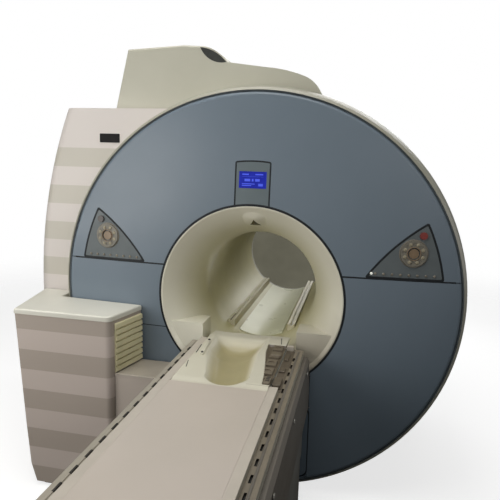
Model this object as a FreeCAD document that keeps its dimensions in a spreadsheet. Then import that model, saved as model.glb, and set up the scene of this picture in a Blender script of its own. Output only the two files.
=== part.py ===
"""Imaging scanner with a round patient bore and a patient table docked in front of it, in millimetres.

The origin is on the floor under the middle of the bore. +Y runs along the bore, from the table into the scanner, +X is
to the right of someone at the foot of the table and +Z is up. Sketches take their coordinates from the sheet.
"""
import FreeCAD, Part
import math
import os
import re
import Sketcher

# Driving dimensions. Heights are above the floor, radii are about the bore's axis, and each depth along Y is counted
# from the plane of the front dome's outer edge, which lies half_depth in front of the origin.
SIZES = {
    # scanner body
    "axis_height": 1020,
    "half_depth": 785,
    "bore_radius": 300,
    "bore_wall": 6,
    "flare_depth": 342,
    "rear_flare": 135,
    "rear_mouth": 332,
    "fit_gap": 0.3,
    "floor_gap": 24,
    "seam": 4,
    "panel_wall": 5,
    "trim_reach": 3000,
    # magnet
    "vessel_clear": 90,
    "vessel_bore": 460,
    "vessel_half": 600,
    "vessel_round": 40,
    "gradient_inner": 345,
    "gradient_half": 560,
    "coil_wall": 18,
    "coil_half": 310,
    "base_half_x": 240,
    "base_half_y": 560,
    "base_wall": 15,
    "anchor_x": 205,
    "anchor_y": 520,
    "anchor_radius": 9,
    "saddle_half": 520,
    "saddle_ear": 40,
    "saddle_foot": 225,
    "saddle_wall": 130,
    "saddle_place": 330,
    "ring_wall": 15,
    "ring_foot": 62,
    "ring_lip": 10,
    # front dome and its edge
    "dome_clear": 20,
    "dome_rise": 42,
    "dome_curve": 9300,
    "edge_roll": 20,
    "edge_depth": 40,
    "mouth_radius": 460,
    "mouth_seal": 5,
    "seal_proud": 2,
    "edge_gap": 7,
    "rim_nose": 13,
    "rim_spread": 26,
    "rim_depth": 200,
    "rim_curve": 900,
    "seam_rise": 147,
    "middle_height": 327,
    "middle_half": 315,
    "door_half": 318,
    "door_foot": 63,
    "door_drop": 533,
    "door_round": 45,
    # display and control panels on the dome
    "display_half": 84,
    "display_rise": 668,
    "display_arch": 620,
    "flange_lap": 10,
    "screen_half": 67,
    "screen_drop": 43,
    "screen_height": 80,
    "pad_gap": 7,
    "pad_rise": 258,
    "pad_margin": 84,
    "pad_width": 347,
    "pad_curve": 950,
    "pad_round": 14,
    "dial_margin": 106,
    "dial_rise": 120,
    "dial_radius": 60,
    "dial_clear": 5.5,
    "dial_height": 7,
    "dial_notches": 8,
    "notch_radius": 9,
    "notch_depth": 2,
    "push_radius": 22.5,
    "push_height": 5,
    "stop_margin": 39,
    "stop_rise": 204,
    "stop_radius": 17,
    "stop_height": 9,
    "button_depth": 10,
    "seat_depth": 15,
    "key_start": 40,
    "key_rise": 18,
    "key_pitch": 38,
    "key_radius": 5,
    "key_height": 1.5,
    "key_count": 8,
    # funnel, ledges and table bay
    "ledge_inner": 240,
    "ledge_drop": 150,
    "ledge_front": 14,
    "ledge_back": 115,
    "bay_half": 216,
    "bay_depth": 110,
    "bay_notch": 63,
    "lamp_half": 48,
    "lamp_front": 34,
    "lamp_back": 118,
    "lamp_half_top": 34,
    "lamp_round": 12,
    "lamp_drop": 51,
    "lamp_drop_back": 4,
    # trough and rails in the bore
    "trough_half": 122,
    "trough_wall": 4,
    "rail_inner": 150,
    "rail_outer": 190,
    "rail_groove": 8,
    # cabinet, ledge box
    "cabinet_front": 285,
    "cabinet_back": 40.5,
    "cabinet_step": 5,
    "cabinet_reach": 125,
    "cabinet_right": 627,
    "cabinet_lean": 55,
    "cabinet_wing": 88,
    "cabinet_flare": 92,
    "cabinet_clear": 1,
    "cabinet_round": 30,
    "cabinet_drop": 102,
    "cabinet_foot": 22,
    "foot_taper": 84,
    "knee_height": 330,
    "knee_taper": 38,
    "lid_wall": 26,
    "lid_lap": 3,
    "louvre_count": 8,
    "louvre_pitch": 31,
    "louvre_depth": 13,
    "louvre_edge": 2,
    "louvre_margin": 4,
    "louvre_start": 38,
    "louvre_drop": 18,
    "box_front": 250,
    "box_right": 334,
    "box_height": 246,
    "box_drop": 382,
    "box_lid": 12,
    "box_lap": 2,
    "box_round": 5,
    "box_side": 2.5,
    "plinth_inset": 26,
    # left, right, top and rear covers
    "side_front": 150,
    "side_drop": 116,
    "side_top_reach": 50,
    "side_low_reach": 245,
    "side_knee_drop": 82,
    "side_curve": 2730,
    "side_back": 735,
    "side_round": 70,
    "cover_wall": 6,
    "turret_foot_x": 818,
    "turret_left_x": 744,
    "turret_left_rise": 192,
    "turret_peak_x": 433,
    "turret_peak_rise": 209,
    "turret_edge_x": 333,
    "turret_edge_rise": 203,
    "intake_foot_x": 198,
    "intake_foot_rise": 121,
    "intake_curve": 210,
    "intake_inner": 128,
    "intake_frame": 6,
    "intake_lead": 12,
    "grille_depth": 20,
    "shoulder_mid_x": 3,
    "shoulder_mid_rise": 95,
    "shoulder_bow": 700,
    "shoulder_turn_x": 193,
    "shoulder_turn_rise": 53,
    "shoulder_curve": 160,
    "shoulder_x": 289,
    "shoulder_step": 1.7,
    "turret_round": 12,
    "turret_back": 715,
    "rear_edge": 745,
    "rear_face": 785,
    # table
    "board_drop": 208,
    "board_edge": 10,
    "board_half": 200,
    "belly_half": 146,
    "belly_radius": 286,
    "board_reach": 60,
    "board_length": 2200,
    "head_length": 660,
    "head_rise": 6,
    "bowl_far_radius": 150,
    "bowl_near_radius": 94,
    "bowl_depth": 62,
    "bowl_start": 105,
    "bowl_end": 560,
    "bowl_far_x": -28,
    "bowl_near_x": 4,
    "socket_inner": 138,
    "socket_outer": 196,
    "socket_drop": 6,
    "socket_start": 130,
    "socket_length": 480,
    "recess_start": 25,
    "recess_length": 470,
    "socket_count": 5,
    "socket_side": 6,
    "socket_space": 24,
    "socket_hole": 14,
    "socket_deep": 4,
    "table_gap": 60,
    "foot_room": 20,
    "frame_drop": 122,
    "frame_step": 17,
    "beam_inner": 152,
    "beam_outer": 202,
    "bar_height": 32,
    "bar_width": 60,
    "bay_count": 5,
    "slide_gap": 4,
    "strip_outer": 236,
    "slot_drop": 21,
    "rail_drop": 72,
    "lug_outer": 262,
    "lip_drop": 52,
    "lip_outer": 283,
    "slot_width": 9,
    "slot_length": 42,
    "slot_depth": 8,
    "slot_count": 23,
    "slot_first": 110,
    "slot_last": 90,
    "slot_x": 251,
    "skirt_wall": 5,
    "skirt_shoulder": 300,
    "skirt_side": 312,
    "skirt_low": 318,
    "skirt_drop": 312,
    "skirt_taper": 100,
    "cap_depth": 30,
    "low_cover_half": 292,
    "low_cover_drop": 110,
    "telescope_wall": 4,
    "telescope_end": 15,
    "middle_lap": 135,
    "middle_rise": 40,
    "table_plate": 12,
    "tongue_half": 150,
    "cylinder_radius": 60,
    "ram_radius": 45,
    "cylinder_drop": 305,
    "ram_lap": 67,
}

# Places that follow from the sizes above, so that a piece moves with what it sits on.
PLACES = {
    "vessel_radius": "axis_height - vessel_clear",
    "dome_radius": "axis_height - dome_clear",
    "rim_start": "dome_radius + edge_gap",
    "rim_front": "rim_start + rim_nose",
    "rim_back": "rim_front + rim_spread",
    "rim_top": "axis_height + rim_back",
    "seam_height": "axis_height + seam_rise",
    "low_seam": "seam_height - middle_height",
    "door_bottom": "floor_gap + door_foot",
    "door_top": "axis_height - door_drop",
    "bay_bottom": "door_top - bay_notch",
    "display_top": "axis_height + display_rise",
    "screen_top": "display_top - screen_drop",
    "screen_bottom": "screen_top - screen_height",
    "pad_base_z": "seam_height + pad_gap",
    "pad_apex_z": "pad_base_z + pad_rise",
    "pad_reach": "dome_radius - pad_margin",
    "pad_outer_x": "sqrt(pad_reach^2 - (pad_base_z - axis_height)^2)",
    "pad_apex_x": "sqrt(pad_reach^2 - (pad_apex_z - axis_height)^2)",
    "pad_inner_x": "pad_outer_x - pad_width",
    "key_first": "pad_inner_x + key_start",
    "key_z": "pad_base_z + key_rise",
    "dial_z": "pad_base_z + dial_rise",
    "dial_x": "sqrt((pad_reach - dial_margin)^2 - (dial_z - axis_height)^2)",
    "dial_hole": "push_radius + dial_clear",
    "stop_z": "pad_base_z + stop_rise",
    "stop_x": "sqrt((pad_reach - stop_margin)^2 - (stop_z - axis_height)^2)",
    "ledge_top": "axis_height - ledge_drop",
    "cabinet_left": "rim_back + cabinet_wing",
    "cabinet_inset": "rim_back + cabinet_clear",
    "cabinet_top": "axis_height - cabinet_drop",
    "cabinet_depth": "cabinet_front - cabinet_back",
    "cabinet_side": "sqrt(cabinet_lean^2 + cabinet_depth^2)",
    "louvre_top": "cabinet_top - louvre_drop",
    "box_top": "axis_height - box_drop",
    "box_bottom": "box_top - box_height",
    "side_top": "rim_top - side_drop",
    "side_top_x": "rim_back + side_top_reach",
    "side_low_x": "rim_back + side_low_reach",
    "side_knee": "axis_height - side_knee_drop",
    "turret_left_z": "rim_top + turret_left_rise",
    "turret_peak_z": "rim_top + turret_peak_rise",
    "turret_edge_z": "rim_top + turret_edge_rise",
    "intake_foot_z": "rim_top + intake_foot_rise",
    "shoulder_mid_z": "rim_top + shoulder_mid_rise",
    "shoulder_turn_z": "rim_top + shoulder_turn_rise",
    "shoulder_low_z": "axis_height + sqrt(rim_back^2 - shoulder_x^2) + shoulder_step",
    "board_top": "axis_height - board_drop",
    "socket_floor": "board_top - socket_drop",
    "frame_length": "board_length - board_reach - table_gap + foot_room",
    "frame_bottom": "board_top - frame_drop",
    "frame_top": "board_top - frame_step",
    "slot_top": "board_top - slot_drop",
    "slot_pitch": "(frame_length - slot_first - slot_last) / (slot_count - 1)",
    "rail_bottom": "board_top - rail_drop",
    "lip_bottom": "board_top - lip_drop",
    "skirt_bottom": "board_top - skirt_drop",
    "low_cover_top": "skirt_bottom - low_cover_drop",
    "middle_bottom": "low_cover_top - middle_lap",
    "middle_top": "skirt_bottom + middle_rise",
    "bar_pitch": "(frame_length - bar_width) / bay_count",
    "cylinder_top": "frame_bottom - cylinder_drop",
    "ram_bottom": "cylinder_top - ram_lap",
}

doc = FreeCAD.newDocument("patient_scanner")
sheet = doc.addObject("Spreadsheet::Sheet", "Sizes")
for row, (alias, value) in enumerate(SIZES.items(), start=1):
    sheet.set(f"A{row}", alias.replace("_", " "))
    sheet.set(f"B{row}", str(value))
    sheet.setAlias(f"B{row}", alias)
doc.recompute()

NODES = []
WORD = re.compile(r"[a-z_]+")

# Planes and surfaces that several pieces share, in words of the sheet.
FRONT = "(-half_depth)"
NOSE = "(-half_depth - dome_rise)"
PANEL_START = "(mouth_radius + mouth_seal)"
TABLE_HEAD = "(-half_depth - table_gap)"
TABLE_FOOT = "(-half_depth - table_gap - frame_length)"
BOARD_HEAD = "(-half_depth + board_reach)"
FLARE_END = "(-half_depth - dome_rise + flare_depth)"
FLARE_RISE = "(mouth_radius - bore_radius)"
FLARE_CURVE = f"((flare_depth^2 + {FLARE_RISE}^2) / (2 * {FLARE_RISE}))"
RUN_TOP = "(board_top - board_edge - fit_gap)"
RING = "(rim_back - panel_wall - fit_gap)"


def words(text):
    """An expression in which each word of the sheet points at its cell and each place is worked out from such words."""

    def cell(match):
        word = match[0]
        if word in PLACES:
            return f"({words(PLACES[word])})"
        return f"Sizes.{word}" if word in SIZES else word

    return WORD.sub(cell, str(text))


def size(text):
    """The number that an expression comes to now."""
    number = sheet.evalExpression(words(text))
    return float(getattr(number, "Value", number))


def node(piece):
    """Count a finished piece among those that are written out."""
    NODES.append(piece)
    return piece


def body(label):
    """A body that the following features build up."""
    made = doc.addObject("PartDesign::Body", label)
    made.Label = label
    made.AllowCompound = True
    return made


def sketch_on(owner, plane, start=0, rise=0):
    """A sketch on one of the body's own planes, moved along the plane's world axis, and up by rise."""
    sketch = owner.newObject("Sketcher::SketchObject", f"{owner.Label}_sketch")
    origin = [part for part in owner.Origin.OriginFeatures if part.Role == f"{plane}_Plane"][0]
    sketch.AttachmentSupport = [(origin, "")]
    sketch.MapMode = "FlatFace"
    sign = "-" if plane == "XZ" else ""
    sketch.setExpression(".AttachmentOffset.Base.z", words(f"{sign}({start})"))
    sketch.setExpression(".AttachmentOffset.Base.y", words(rise))
    return sketch


def arc_between(start, stop, radius):
    """The shorter arc from start to stop: it turns left for a positive radius and right for a negative one."""
    chord = stop - start
    left = FreeCAD.Vector(-chord.y, chord.x, 0).normalize()
    inward = math.copysign(1, radius)
    sagitta = abs(radius) - math.sqrt(radius**2 - chord.Length**2 / 4)
    middle = (start + stop) * 0.5 - left * (sagitta * inward)
    if radius > 0:
        return Part.ArcOfCircle(start, middle, stop)
    return Part.ArcOfCircle(stop, middle, start)


def outline(sketch, corners):
    """Close a loop through corners of (x, y), or (x, y, radius) where an arc leads on to the next corner."""
    places = [FreeCAD.Vector(size(corner[0]), size(corner[1]), 0) for corner in corners]
    rules = []
    bound = []
    first = sketch.GeometryCount
    ends = []
    for number, corner in enumerate(corners):
        start = places[number]
        stop = places[(number + 1) % len(corners)]
        if len(corner) == 2:
            sketch.addGeometry(Part.LineSegment(start, stop), False)
            ends.append((1, 2))
            continue
        radius = size(corner[2])
        sketch.addGeometry(arc_between(start, stop, radius), False)
        ends.append((1, 2) if radius > 0 else (2, 1))
        rules.append(Sketcher.Constraint("Radius", first + number, abs(radius)))
        bound.append(f"abs({corner[2]})")
    for number, corner in enumerate(corners):
        geometry = first + number
        follower = (number + 1) % len(corners)
        rules.append(Sketcher.Constraint("DistanceX", -1, 1, geometry, ends[number][0], places[number].x))
        bound.append(corner[0])
        rules.append(Sketcher.Constraint("DistanceY", -1, 1, geometry, ends[number][0], places[number].y))
        bound.append(corner[1])
        rules.append(Sketcher.Constraint("Coincident", geometry, ends[number][1], first + follower, ends[follower][0]))
        bound.append(None)
    begin = sketch.ConstraintCount
    sketch.addConstraint(rules)
    for number, text in enumerate(bound):
        if text is not None:
            sketch.setExpression(f"Constraints[{begin + number}]", words(text))


def circle(sketch, x, y, radius):
    """A circle whose centre and radius are words of the sheet."""
    place = FreeCAD.Vector(size(x), size(y), 0)
    number = sketch.addGeometry(Part.Circle(place, FreeCAD.Vector(0, 0, 1), size(radius)), False)
    for kind, text in (("DistanceX", x), ("DistanceY", y)):
        rule = sketch.addConstraint(Sketcher.Constraint(kind, -1, 1, number, 3, size(text)))
        sketch.setExpression(f"Constraints[{rule}]", words(text))
    rule = sketch.addConstraint(Sketcher.Constraint("Radius", number, size(radius)))
    sketch.setExpression(f"Constraints[{rule}]", words(radius))


def draw(sketch, loops):
    """Draw each loop: a circle as ("circle", x, y, radius), anything else as a list of corners."""
    for loop in loops:
        if loop[0] == "circle":
            circle(sketch, *loop[1:])
        else:
            outline(sketch, loop)


def pad(owner, plane, start, length, *loops):
    """Add material between start and start + length along the plane's world axis."""
    sketch = sketch_on(owner, plane, start)
    draw(sketch, loops)
    feature = owner.newObject("PartDesign::Pad", f"{owner.Label}_pad")
    feature.Profile = sketch
    feature.setExpression("Length", words(length))
    feature.Reversed = plane == "XZ"
    return feature


def pocket(owner, plane, start, length, *loops):
    """Take material away between start and start + length along the plane's world axis."""
    sketch = sketch_on(owner, plane, start)
    draw(sketch, loops)
    feature = owner.newObject("PartDesign::Pocket", f"{owner.Label}_pocket")
    feature.Profile = sketch
    feature.setExpression("Length", words(length))
    feature.Reversed = plane != "XZ"
    return feature


def keep(owner, *loops):
    """Leave only what lies inside the loops, seen from the front."""
    reach = "trim_reach"
    around = [(f"-{reach}", f"-{reach}"), (reach, f"-{reach}"), (reach, reach), (f"-{reach}", reach)]
    return pocket(owner, "XZ", f"-{reach}", f"2 * {reach}", around, *loops)


def turned(owner, kind, corners):
    """Turn a loop of (depth, radius) corners about the bore's axis, to add or to cut."""
    sketch = sketch_on(owner, "YZ", 0, "axis_height")
    outline(sketch, corners)
    feature = owner.newObject(f"PartDesign::{kind}", f"{owner.Label}_{kind.lower()}")
    feature.Profile = sketch
    feature.ReferenceAxis = (sketch, ["H_Axis"])
    feature.Angle = 360
    return feature


def cut_floor(owner):
    """Trim a round cover flat above the floor."""
    reach = "trim_reach"
    low = [(f"-{reach}", f"-{reach}"), (reach, f"-{reach}"), (reach, "floor_gap"), (f"-{reach}", "floor_gap")]
    return pocket(owner, "XZ", f"-{reach}", f"2 * {reach}", low)


def round_edges(owner, radius, chosen):
    """Round the edges of the body so far that the chooser picks."""
    doc.recompute()
    base = owner.Tip
    names = [f"Edge{n}" for n, edge in enumerate(base.Shape.Edges, start=1) if chosen(edge)]
    feature = owner.newObject("PartDesign::Fillet", f"{owner.Label}_round")
    feature.Base = (base, names)
    feature.setExpression("Radius", words(radius))
    return feature


def along(edge, axis):
    """Whether a straight edge runs along an axis: 0 for X, 1 for Y, 2 for Z."""
    if len(edge.Vertexes) != 2 or edge.Curve.TypeId != "Part::GeomLine":
        return False
    direction = edge.Vertexes[1].Point - edge.Vertexes[0].Point
    return abs(direction[axis]) > 0.999 * direction.Length


def box(x_low, x_high, z_low, z_high):
    """The corners of a rectangle between two words across and two words up."""
    return [(x_low, z_low), (x_high, z_low), (x_high, z_high), (x_low, z_high)]


def mirrored(loop):
    """The same loop on the other side of the middle plane."""
    if loop[0] == "circle":
        return ("circle", f"-({loop[1]})", loop[2], loop[3])
    return [(f"-({c[0]})", c[1]) + tuple(f"-({radius})" for radius in c[2:]) for c in loop]


def sided(side, loop):
    """The loop for the right side, or its mirror image for the left side."""
    return loop if side == "right" else mirrored(loop)


def joined(label, *parts):
    """One piece from several overlapping or touching shapes."""
    fuse = doc.addObject("Part::MultiFuse", label)
    fuse.Label = label
    fuse.Shapes = list(parts)
    return fuse


def without(label, base, tool):
    """The base less the tool."""
    cut = doc.addObject("Part::Cut", label)
    cut.Label = label
    cut.Base = base
    cut.Tool = tool
    return cut


# ---------------------------------------------------------------------------------------------------------------------
# Magnet: vessel, coils, saddles on a base plate, and the rings that carry the covers.

def magnet_vessel():
    vessel = body("magnet_vessel")
    turned(vessel, "Revolution", [
        ("-vessel_half", "vessel_bore"),
        ("vessel_half", "vessel_bore"),
        ("vessel_half", "vessel_radius - vessel_round", "vessel_round"),
        ("vessel_half - vessel_round", "vessel_radius"),
        ("-vessel_half + vessel_round", "vessel_radius", "vessel_round"),
        ("-vessel_half", "vessel_radius - vessel_round"),
    ])
    node(vessel)


def bore_tubes():
    liner = body("bore_liner")
    turned(liner, "Revolution", box(FLARE_END, "half_depth - rear_flare", "bore_radius", "bore_radius + bore_wall"))
    node(liner)
    coil = body("body_coil")
    coil_start = "(bore_radius + bore_wall + fit_gap)"
    turned(coil, "Revolution", box("-coil_half", "coil_half", coil_start, f"{coil_start} + coil_wall"))
    node(coil)
    gradient = body("gradient_coil")
    turned(gradient, "Revolution", box("-gradient_half", "gradient_half", "gradient_inner", "vessel_bore - fit_gap"))
    node(gradient)


def magnet_saddles():
    """Two cross plates that the vessel lies in, hollowed to its radius and narrow enough for the round covers."""
    saddles = body("magnet_saddles")
    radius = "(vessel_radius + fit_gap)"
    shoulder = f"(axis_height - sqrt({radius}^2 - saddle_half^2))"
    ear = "(saddle_half + saddle_ear)"
    for place in ("-saddle_place", "saddle_place"):
        pad(saddles, "XZ", f"{place} - saddle_wall / 2", "saddle_wall", [
            ("-saddle_foot", "base_wall"),
            ("saddle_foot", "base_wall"),
            (ear, shoulder),
            ("saddle_half", shoulder, f"-{radius}"),
            ("-saddle_half", shoulder),
            (f"-{ear}", shoulder),
        ])
    node(saddles)


def magnet_base_plate():
    plate = body("magnet_base_plate")
    anchors = [("circle", f"{x}anchor_x", f"{y}anchor_y", "anchor_radius") for x in ("", "-") for y in ("", "-")]
    pad(plate, "XY", 0, "base_wall", box("-base_half_x", "base_half_x", "-base_half_y", "base_half_y"), *anchors)
    node(plate)


def cover_rings():
    """Two angle rings round the vessel's straight wall that the covers are screwed to."""
    rings = body("cover_rings")
    seat = "(vessel_radius + fit_gap)"
    for start, turn in ((f"({FRONT} + rim_depth - ring_wall)", ""), ("(vessel_half - fit_gap)", "-")):
        turned(rings, "Revolution", [
            (start, seat),
            (f"{start} + {turn}ring_foot", seat),
            (f"{start} + {turn}ring_foot", f"{seat} + ring_lip"),
            (f"{start} + {turn}ring_wall", f"{seat} + ring_lip"),
            (f"{start} + {turn}ring_wall", RING),
            (start, RING),
        ])
    cut_floor(rings)
    node(rings)


# ---------------------------------------------------------------------------------------------------------------------
# Front dome: a shallow shell with a rolled edge, split by seams, with openings for the display and the keypads.

def dome_shell(owner):
    wall = "panel_wall"
    turned(owner, "Revolution", [
        (NOSE, PANEL_START, "-dome_curve"),
        (FRONT, "dome_radius - edge_roll", "-edge_roll"),
        (f"{FRONT} + edge_roll", "dome_radius"),
        (f"{FRONT} + edge_depth", "dome_radius"),
        (f"{FRONT} + edge_depth", f"dome_radius - {wall}"),
        (f"{FRONT} + edge_roll", f"dome_radius - {wall}", f"edge_roll - {wall}"),
        (f"{FRONT} + {wall}", "dome_radius - edge_roll", "dome_curve"),
        (f"{NOSE} + {wall}", PANEL_START),
    ])


def dome_layer(owner, depth, wall, inner=PANEL_START):
    """A ring that follows the dome at a depth behind its front."""
    turned(owner, "Revolution", [
        (f"{NOSE} + {depth}", inner, "-dome_curve"),
        (f"{FRONT} + {depth}", "dome_radius - edge_roll"),
        (f"{FRONT} + {depth} + {wall}", "dome_radius - edge_roll", "dome_curve"),
        (f"{NOSE} + {depth} + {wall}", inner),
    ])


def keypad_outline(margin):
    """The three-cornered outline of the right keypad, grown by a margin."""
    return [
        (f"pad_inner_x - 1.6 * ({margin})", f"pad_base_z - ({margin})"),
        (f"pad_outer_x + ({margin})", f"pad_base_z - ({margin})", "pad_curve"),
        (f"pad_apex_x + 0.4 * ({margin})", f"pad_apex_z + 1.6 * ({margin})", "pad_curve"),
    ]


def display_outline(margin):
    """The display's outline: straight sides from the mouth up to a slightly arched top."""
    half = f"(display_half + ({margin}))"
    return [
        (f"-{half}", "axis_height"),
        (half, "axis_height"),
        (half, f"display_top + ({margin})", "display_arch"),
        (f"-{half}", f"display_top + ({margin})"),
    ]


def through_dome(owner, *loops):
    """Cut the loops right through the dome's depth."""
    pocket(owner, "XZ", f"{NOSE} - edge_depth", "dome_rise + 3 * edge_depth", *loops)


def upper_front_panel():
    panel = body("upper_front_panel")
    dome_shell(panel)
    keep(panel, box("-trim_reach / 2", "trim_reach / 2", "seam_height + seam / 2", "trim_reach / 2 + axis_height"))
    through_dome(panel, display_outline("seam / 2"))
    for side in ("left", "right"):
        through_dome(panel, sided(side, keypad_outline("seam / 2")))
    node(panel)


def lower_front_panels():
    """The panels below the seam: two on the left, one on the right, the middle one and the low cover."""
    low = "-trim_reach / 2"
    seam_top = "seam_height - seam / 2"
    middle = "middle_half + seam / 2"
    right = body("lower_right_panel")
    dome_shell(right)
    keep(right, [
        ("seam / 2", low),
        ("trim_reach / 2", low),
        ("trim_reach / 2", seam_top),
        (middle, seam_top),
        (middle, "door_top + seam"),
        ("door_half + seam", "door_top + seam"),
        ("door_half + seam", "door_bottom - seam"),
        ("seam / 2", "door_bottom - seam"),
    ])
    cut_floor(right)
    node(right)
    left = body("lower_left_panel")
    dome_shell(left)
    keep(left, mirrored([
        ("seam / 2", low),
        ("trim_reach / 2", low),
        ("trim_reach / 2", "low_seam - seam / 2"),
        (middle, "low_seam - seam / 2"),
        (middle, "door_top + seam"),
        ("door_half + seam", "door_top + seam"),
        ("door_half + seam", "door_bottom - seam"),
        ("seam / 2", "door_bottom - seam"),
    ]))
    cut_floor(left)
    node(left)
    middle_left = body("middle_left_panel")
    dome_shell(middle_left)
    keep(middle_left, box("-trim_reach / 2", "-middle_half - seam / 2", "low_seam + seam / 2", seam_top))
    node(middle_left)
    wings = body("bay_side_panels")
    dome_shell(wings)
    wing = box("bay_half", "middle_half - seam / 2", "door_top + seam", "axis_height")
    keep(wings, wing, mirrored(wing))
    node(wings)


def low_cover_outline(margin):
    """The outline of the low middle cover, grown by a margin except round the table's bay."""
    half = f"(door_half + ({margin}))"
    low = f"(door_bottom - ({margin}))"
    high = f"(door_top + ({margin}))"
    return [
        (f"-{half} + door_round", low),
        (f"{half} - door_round", low, "door_round"),
        (half, f"{low} + door_round"),
        (half, f"{high} - door_round", "door_round"),
        (f"{half} - door_round", high),
        ("bay_half", high),
        ("bay_half", "bay_bottom"),
        ("-bay_half", "bay_bottom"),
        ("-bay_half", high),
        (f"-{half} + door_round", high, "door_round"),
        (f"-{half}", f"{high} - door_round"),
        (f"-{half}", f"{low} + door_round", "door_round"),
    ]


def low_centre_cover():
    """The cover with rounded corners low in the middle, notched for the bay, with a flange behind its neighbours."""
    front = body("low_cover_front")
    dome_layer(front, 0, "panel_wall")
    keep(front, low_cover_outline("0"))
    back = body("low_cover_flange")
    dome_layer(back, "panel_wall", "panel_wall")
    keep(back, low_cover_outline("flange_lap"))
    node(joined("low_centre_cover", front, back))


def dome_seals():
    """The dark ring round the mouth and the dark ring in the gap between the dome and the rim."""
    mouth = body("mouth_seal_ring")
    turned(mouth, "Revolution", box(
        f"{NOSE} - seal_proud", f"{NOSE} + 3 * panel_wall",
        "mouth_radius + fit_gap", "mouth_radius + mouth_seal - fit_gap"))
    pocket(mouth, "XZ", f"{NOSE} - edge_depth", "3 * edge_depth", box("-bay_half", "bay_half", "0", "axis_height"))
    node(mouth)
    edge = body("dome_edge_seal")
    turned(edge, "Revolution", box(
        f"{FRONT} + edge_roll / 2", f"{FRONT} + edge_depth", "dome_radius + fit_gap", "rim_start - fit_gap"))
    cut_floor(edge)
    node(edge)


def rim_cover():
    """The cream ring behind the dome's edge, wider towards the back and cut flat above the floor."""
    rim = body("rim_cover")
    nose = "(rim_front - rim_start)"
    wall = "panel_wall"
    turned(rim, "Revolution", [
        (f"{FRONT} + {wall}", "rim_start"),
        (f"{FRONT} + {nose} + {wall}", "rim_front", "-rim_curve"),
        (f"{FRONT} + rim_depth", "rim_back"),
        (f"{FRONT} + rim_depth", f"rim_back - {wall}"),
        (f"{FRONT} + rim_depth - ring_wall - fit_gap", f"rim_back - {wall}", "rim_curve"),
        (f"{FRONT} + {nose} + 2 * {wall}", f"rim_front - {wall}"),
        (f"{FRONT} + edge_depth", f"rim_front - {wall}"),
        (f"{FRONT} + edge_depth", "rim_start"),
    ])
    cut_floor(rim)
    node(rim)


def display():
    frame_front = body("display_front")
    dome_layer(frame_front, 0, "panel_wall")
    keep(frame_front, display_outline("-seam / 2"))
    through_dome(frame_front, box("-screen_half", "screen_half", "screen_bottom", "screen_top"))
    frame_back = body("display_flange")
    dome_layer(frame_back, "panel_wall", "panel_wall")
    keep(frame_back, display_outline("flange_lap"))
    node(joined("display_frame", frame_front, frame_back))
    screen = body("lcd_screen")
    dome_layer(screen, "panel_wall / 3", "2 * panel_wall / 3")
    inset = "fit_gap"
    keep(screen, box(
        f"-screen_half + {inset}", f"screen_half - {inset}", f"screen_bottom + {inset}", f"screen_top - {inset}"))
    node(screen)


def dome_spot(x, z):
    """Where the dome's front lies at (x, z), as a placement whose Z axis points out of the dome."""
    low = FreeCAD.Vector(size(NOSE), size(PANEL_START), 0)
    high = FreeCAD.Vector(size(FRONT), size("dome_radius - edge_roll"), 0)
    chord = high - low
    curve = size("dome_curve")
    across = FreeCAD.Vector(chord.y, -chord.x, 0).normalize()
    centre = (low + high) * 0.5 + across * math.sqrt(curve**2 - chord.Length**2 / 4)
    rise = size(z) - size("axis_height")
    radius = math.hypot(size(x), rise)
    slope = math.asin((radius - centre.y) / curve)
    depth = centre.x - curve * math.cos(slope)
    outward = FreeCAD.Vector(size(x) / radius * math.sin(slope), -math.cos(slope), rise / radius * math.sin(slope))
    return FreeCAD.Placement(FreeCAD.Vector(size(x), depth, size(z)), FreeCAD.Rotation(FreeCAD.Vector(0, 0, 1), outward))


def cylinder(label, radius, low, high, placement):
    """A round bar along the placement's Z axis, from low to high in front of the dome."""
    bar = doc.addObject("Part::Cylinder", label)
    bar.Label = label
    bar.setExpression("Radius", words(radius))
    bar.setExpression("Height", words(f"({high}) - ({low})"))
    bar.Placement = placement.multiply(FreeCAD.Placement(FreeCAD.Vector(0, 0, size(low)), FreeCAD.Rotation()))
    return bar


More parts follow.
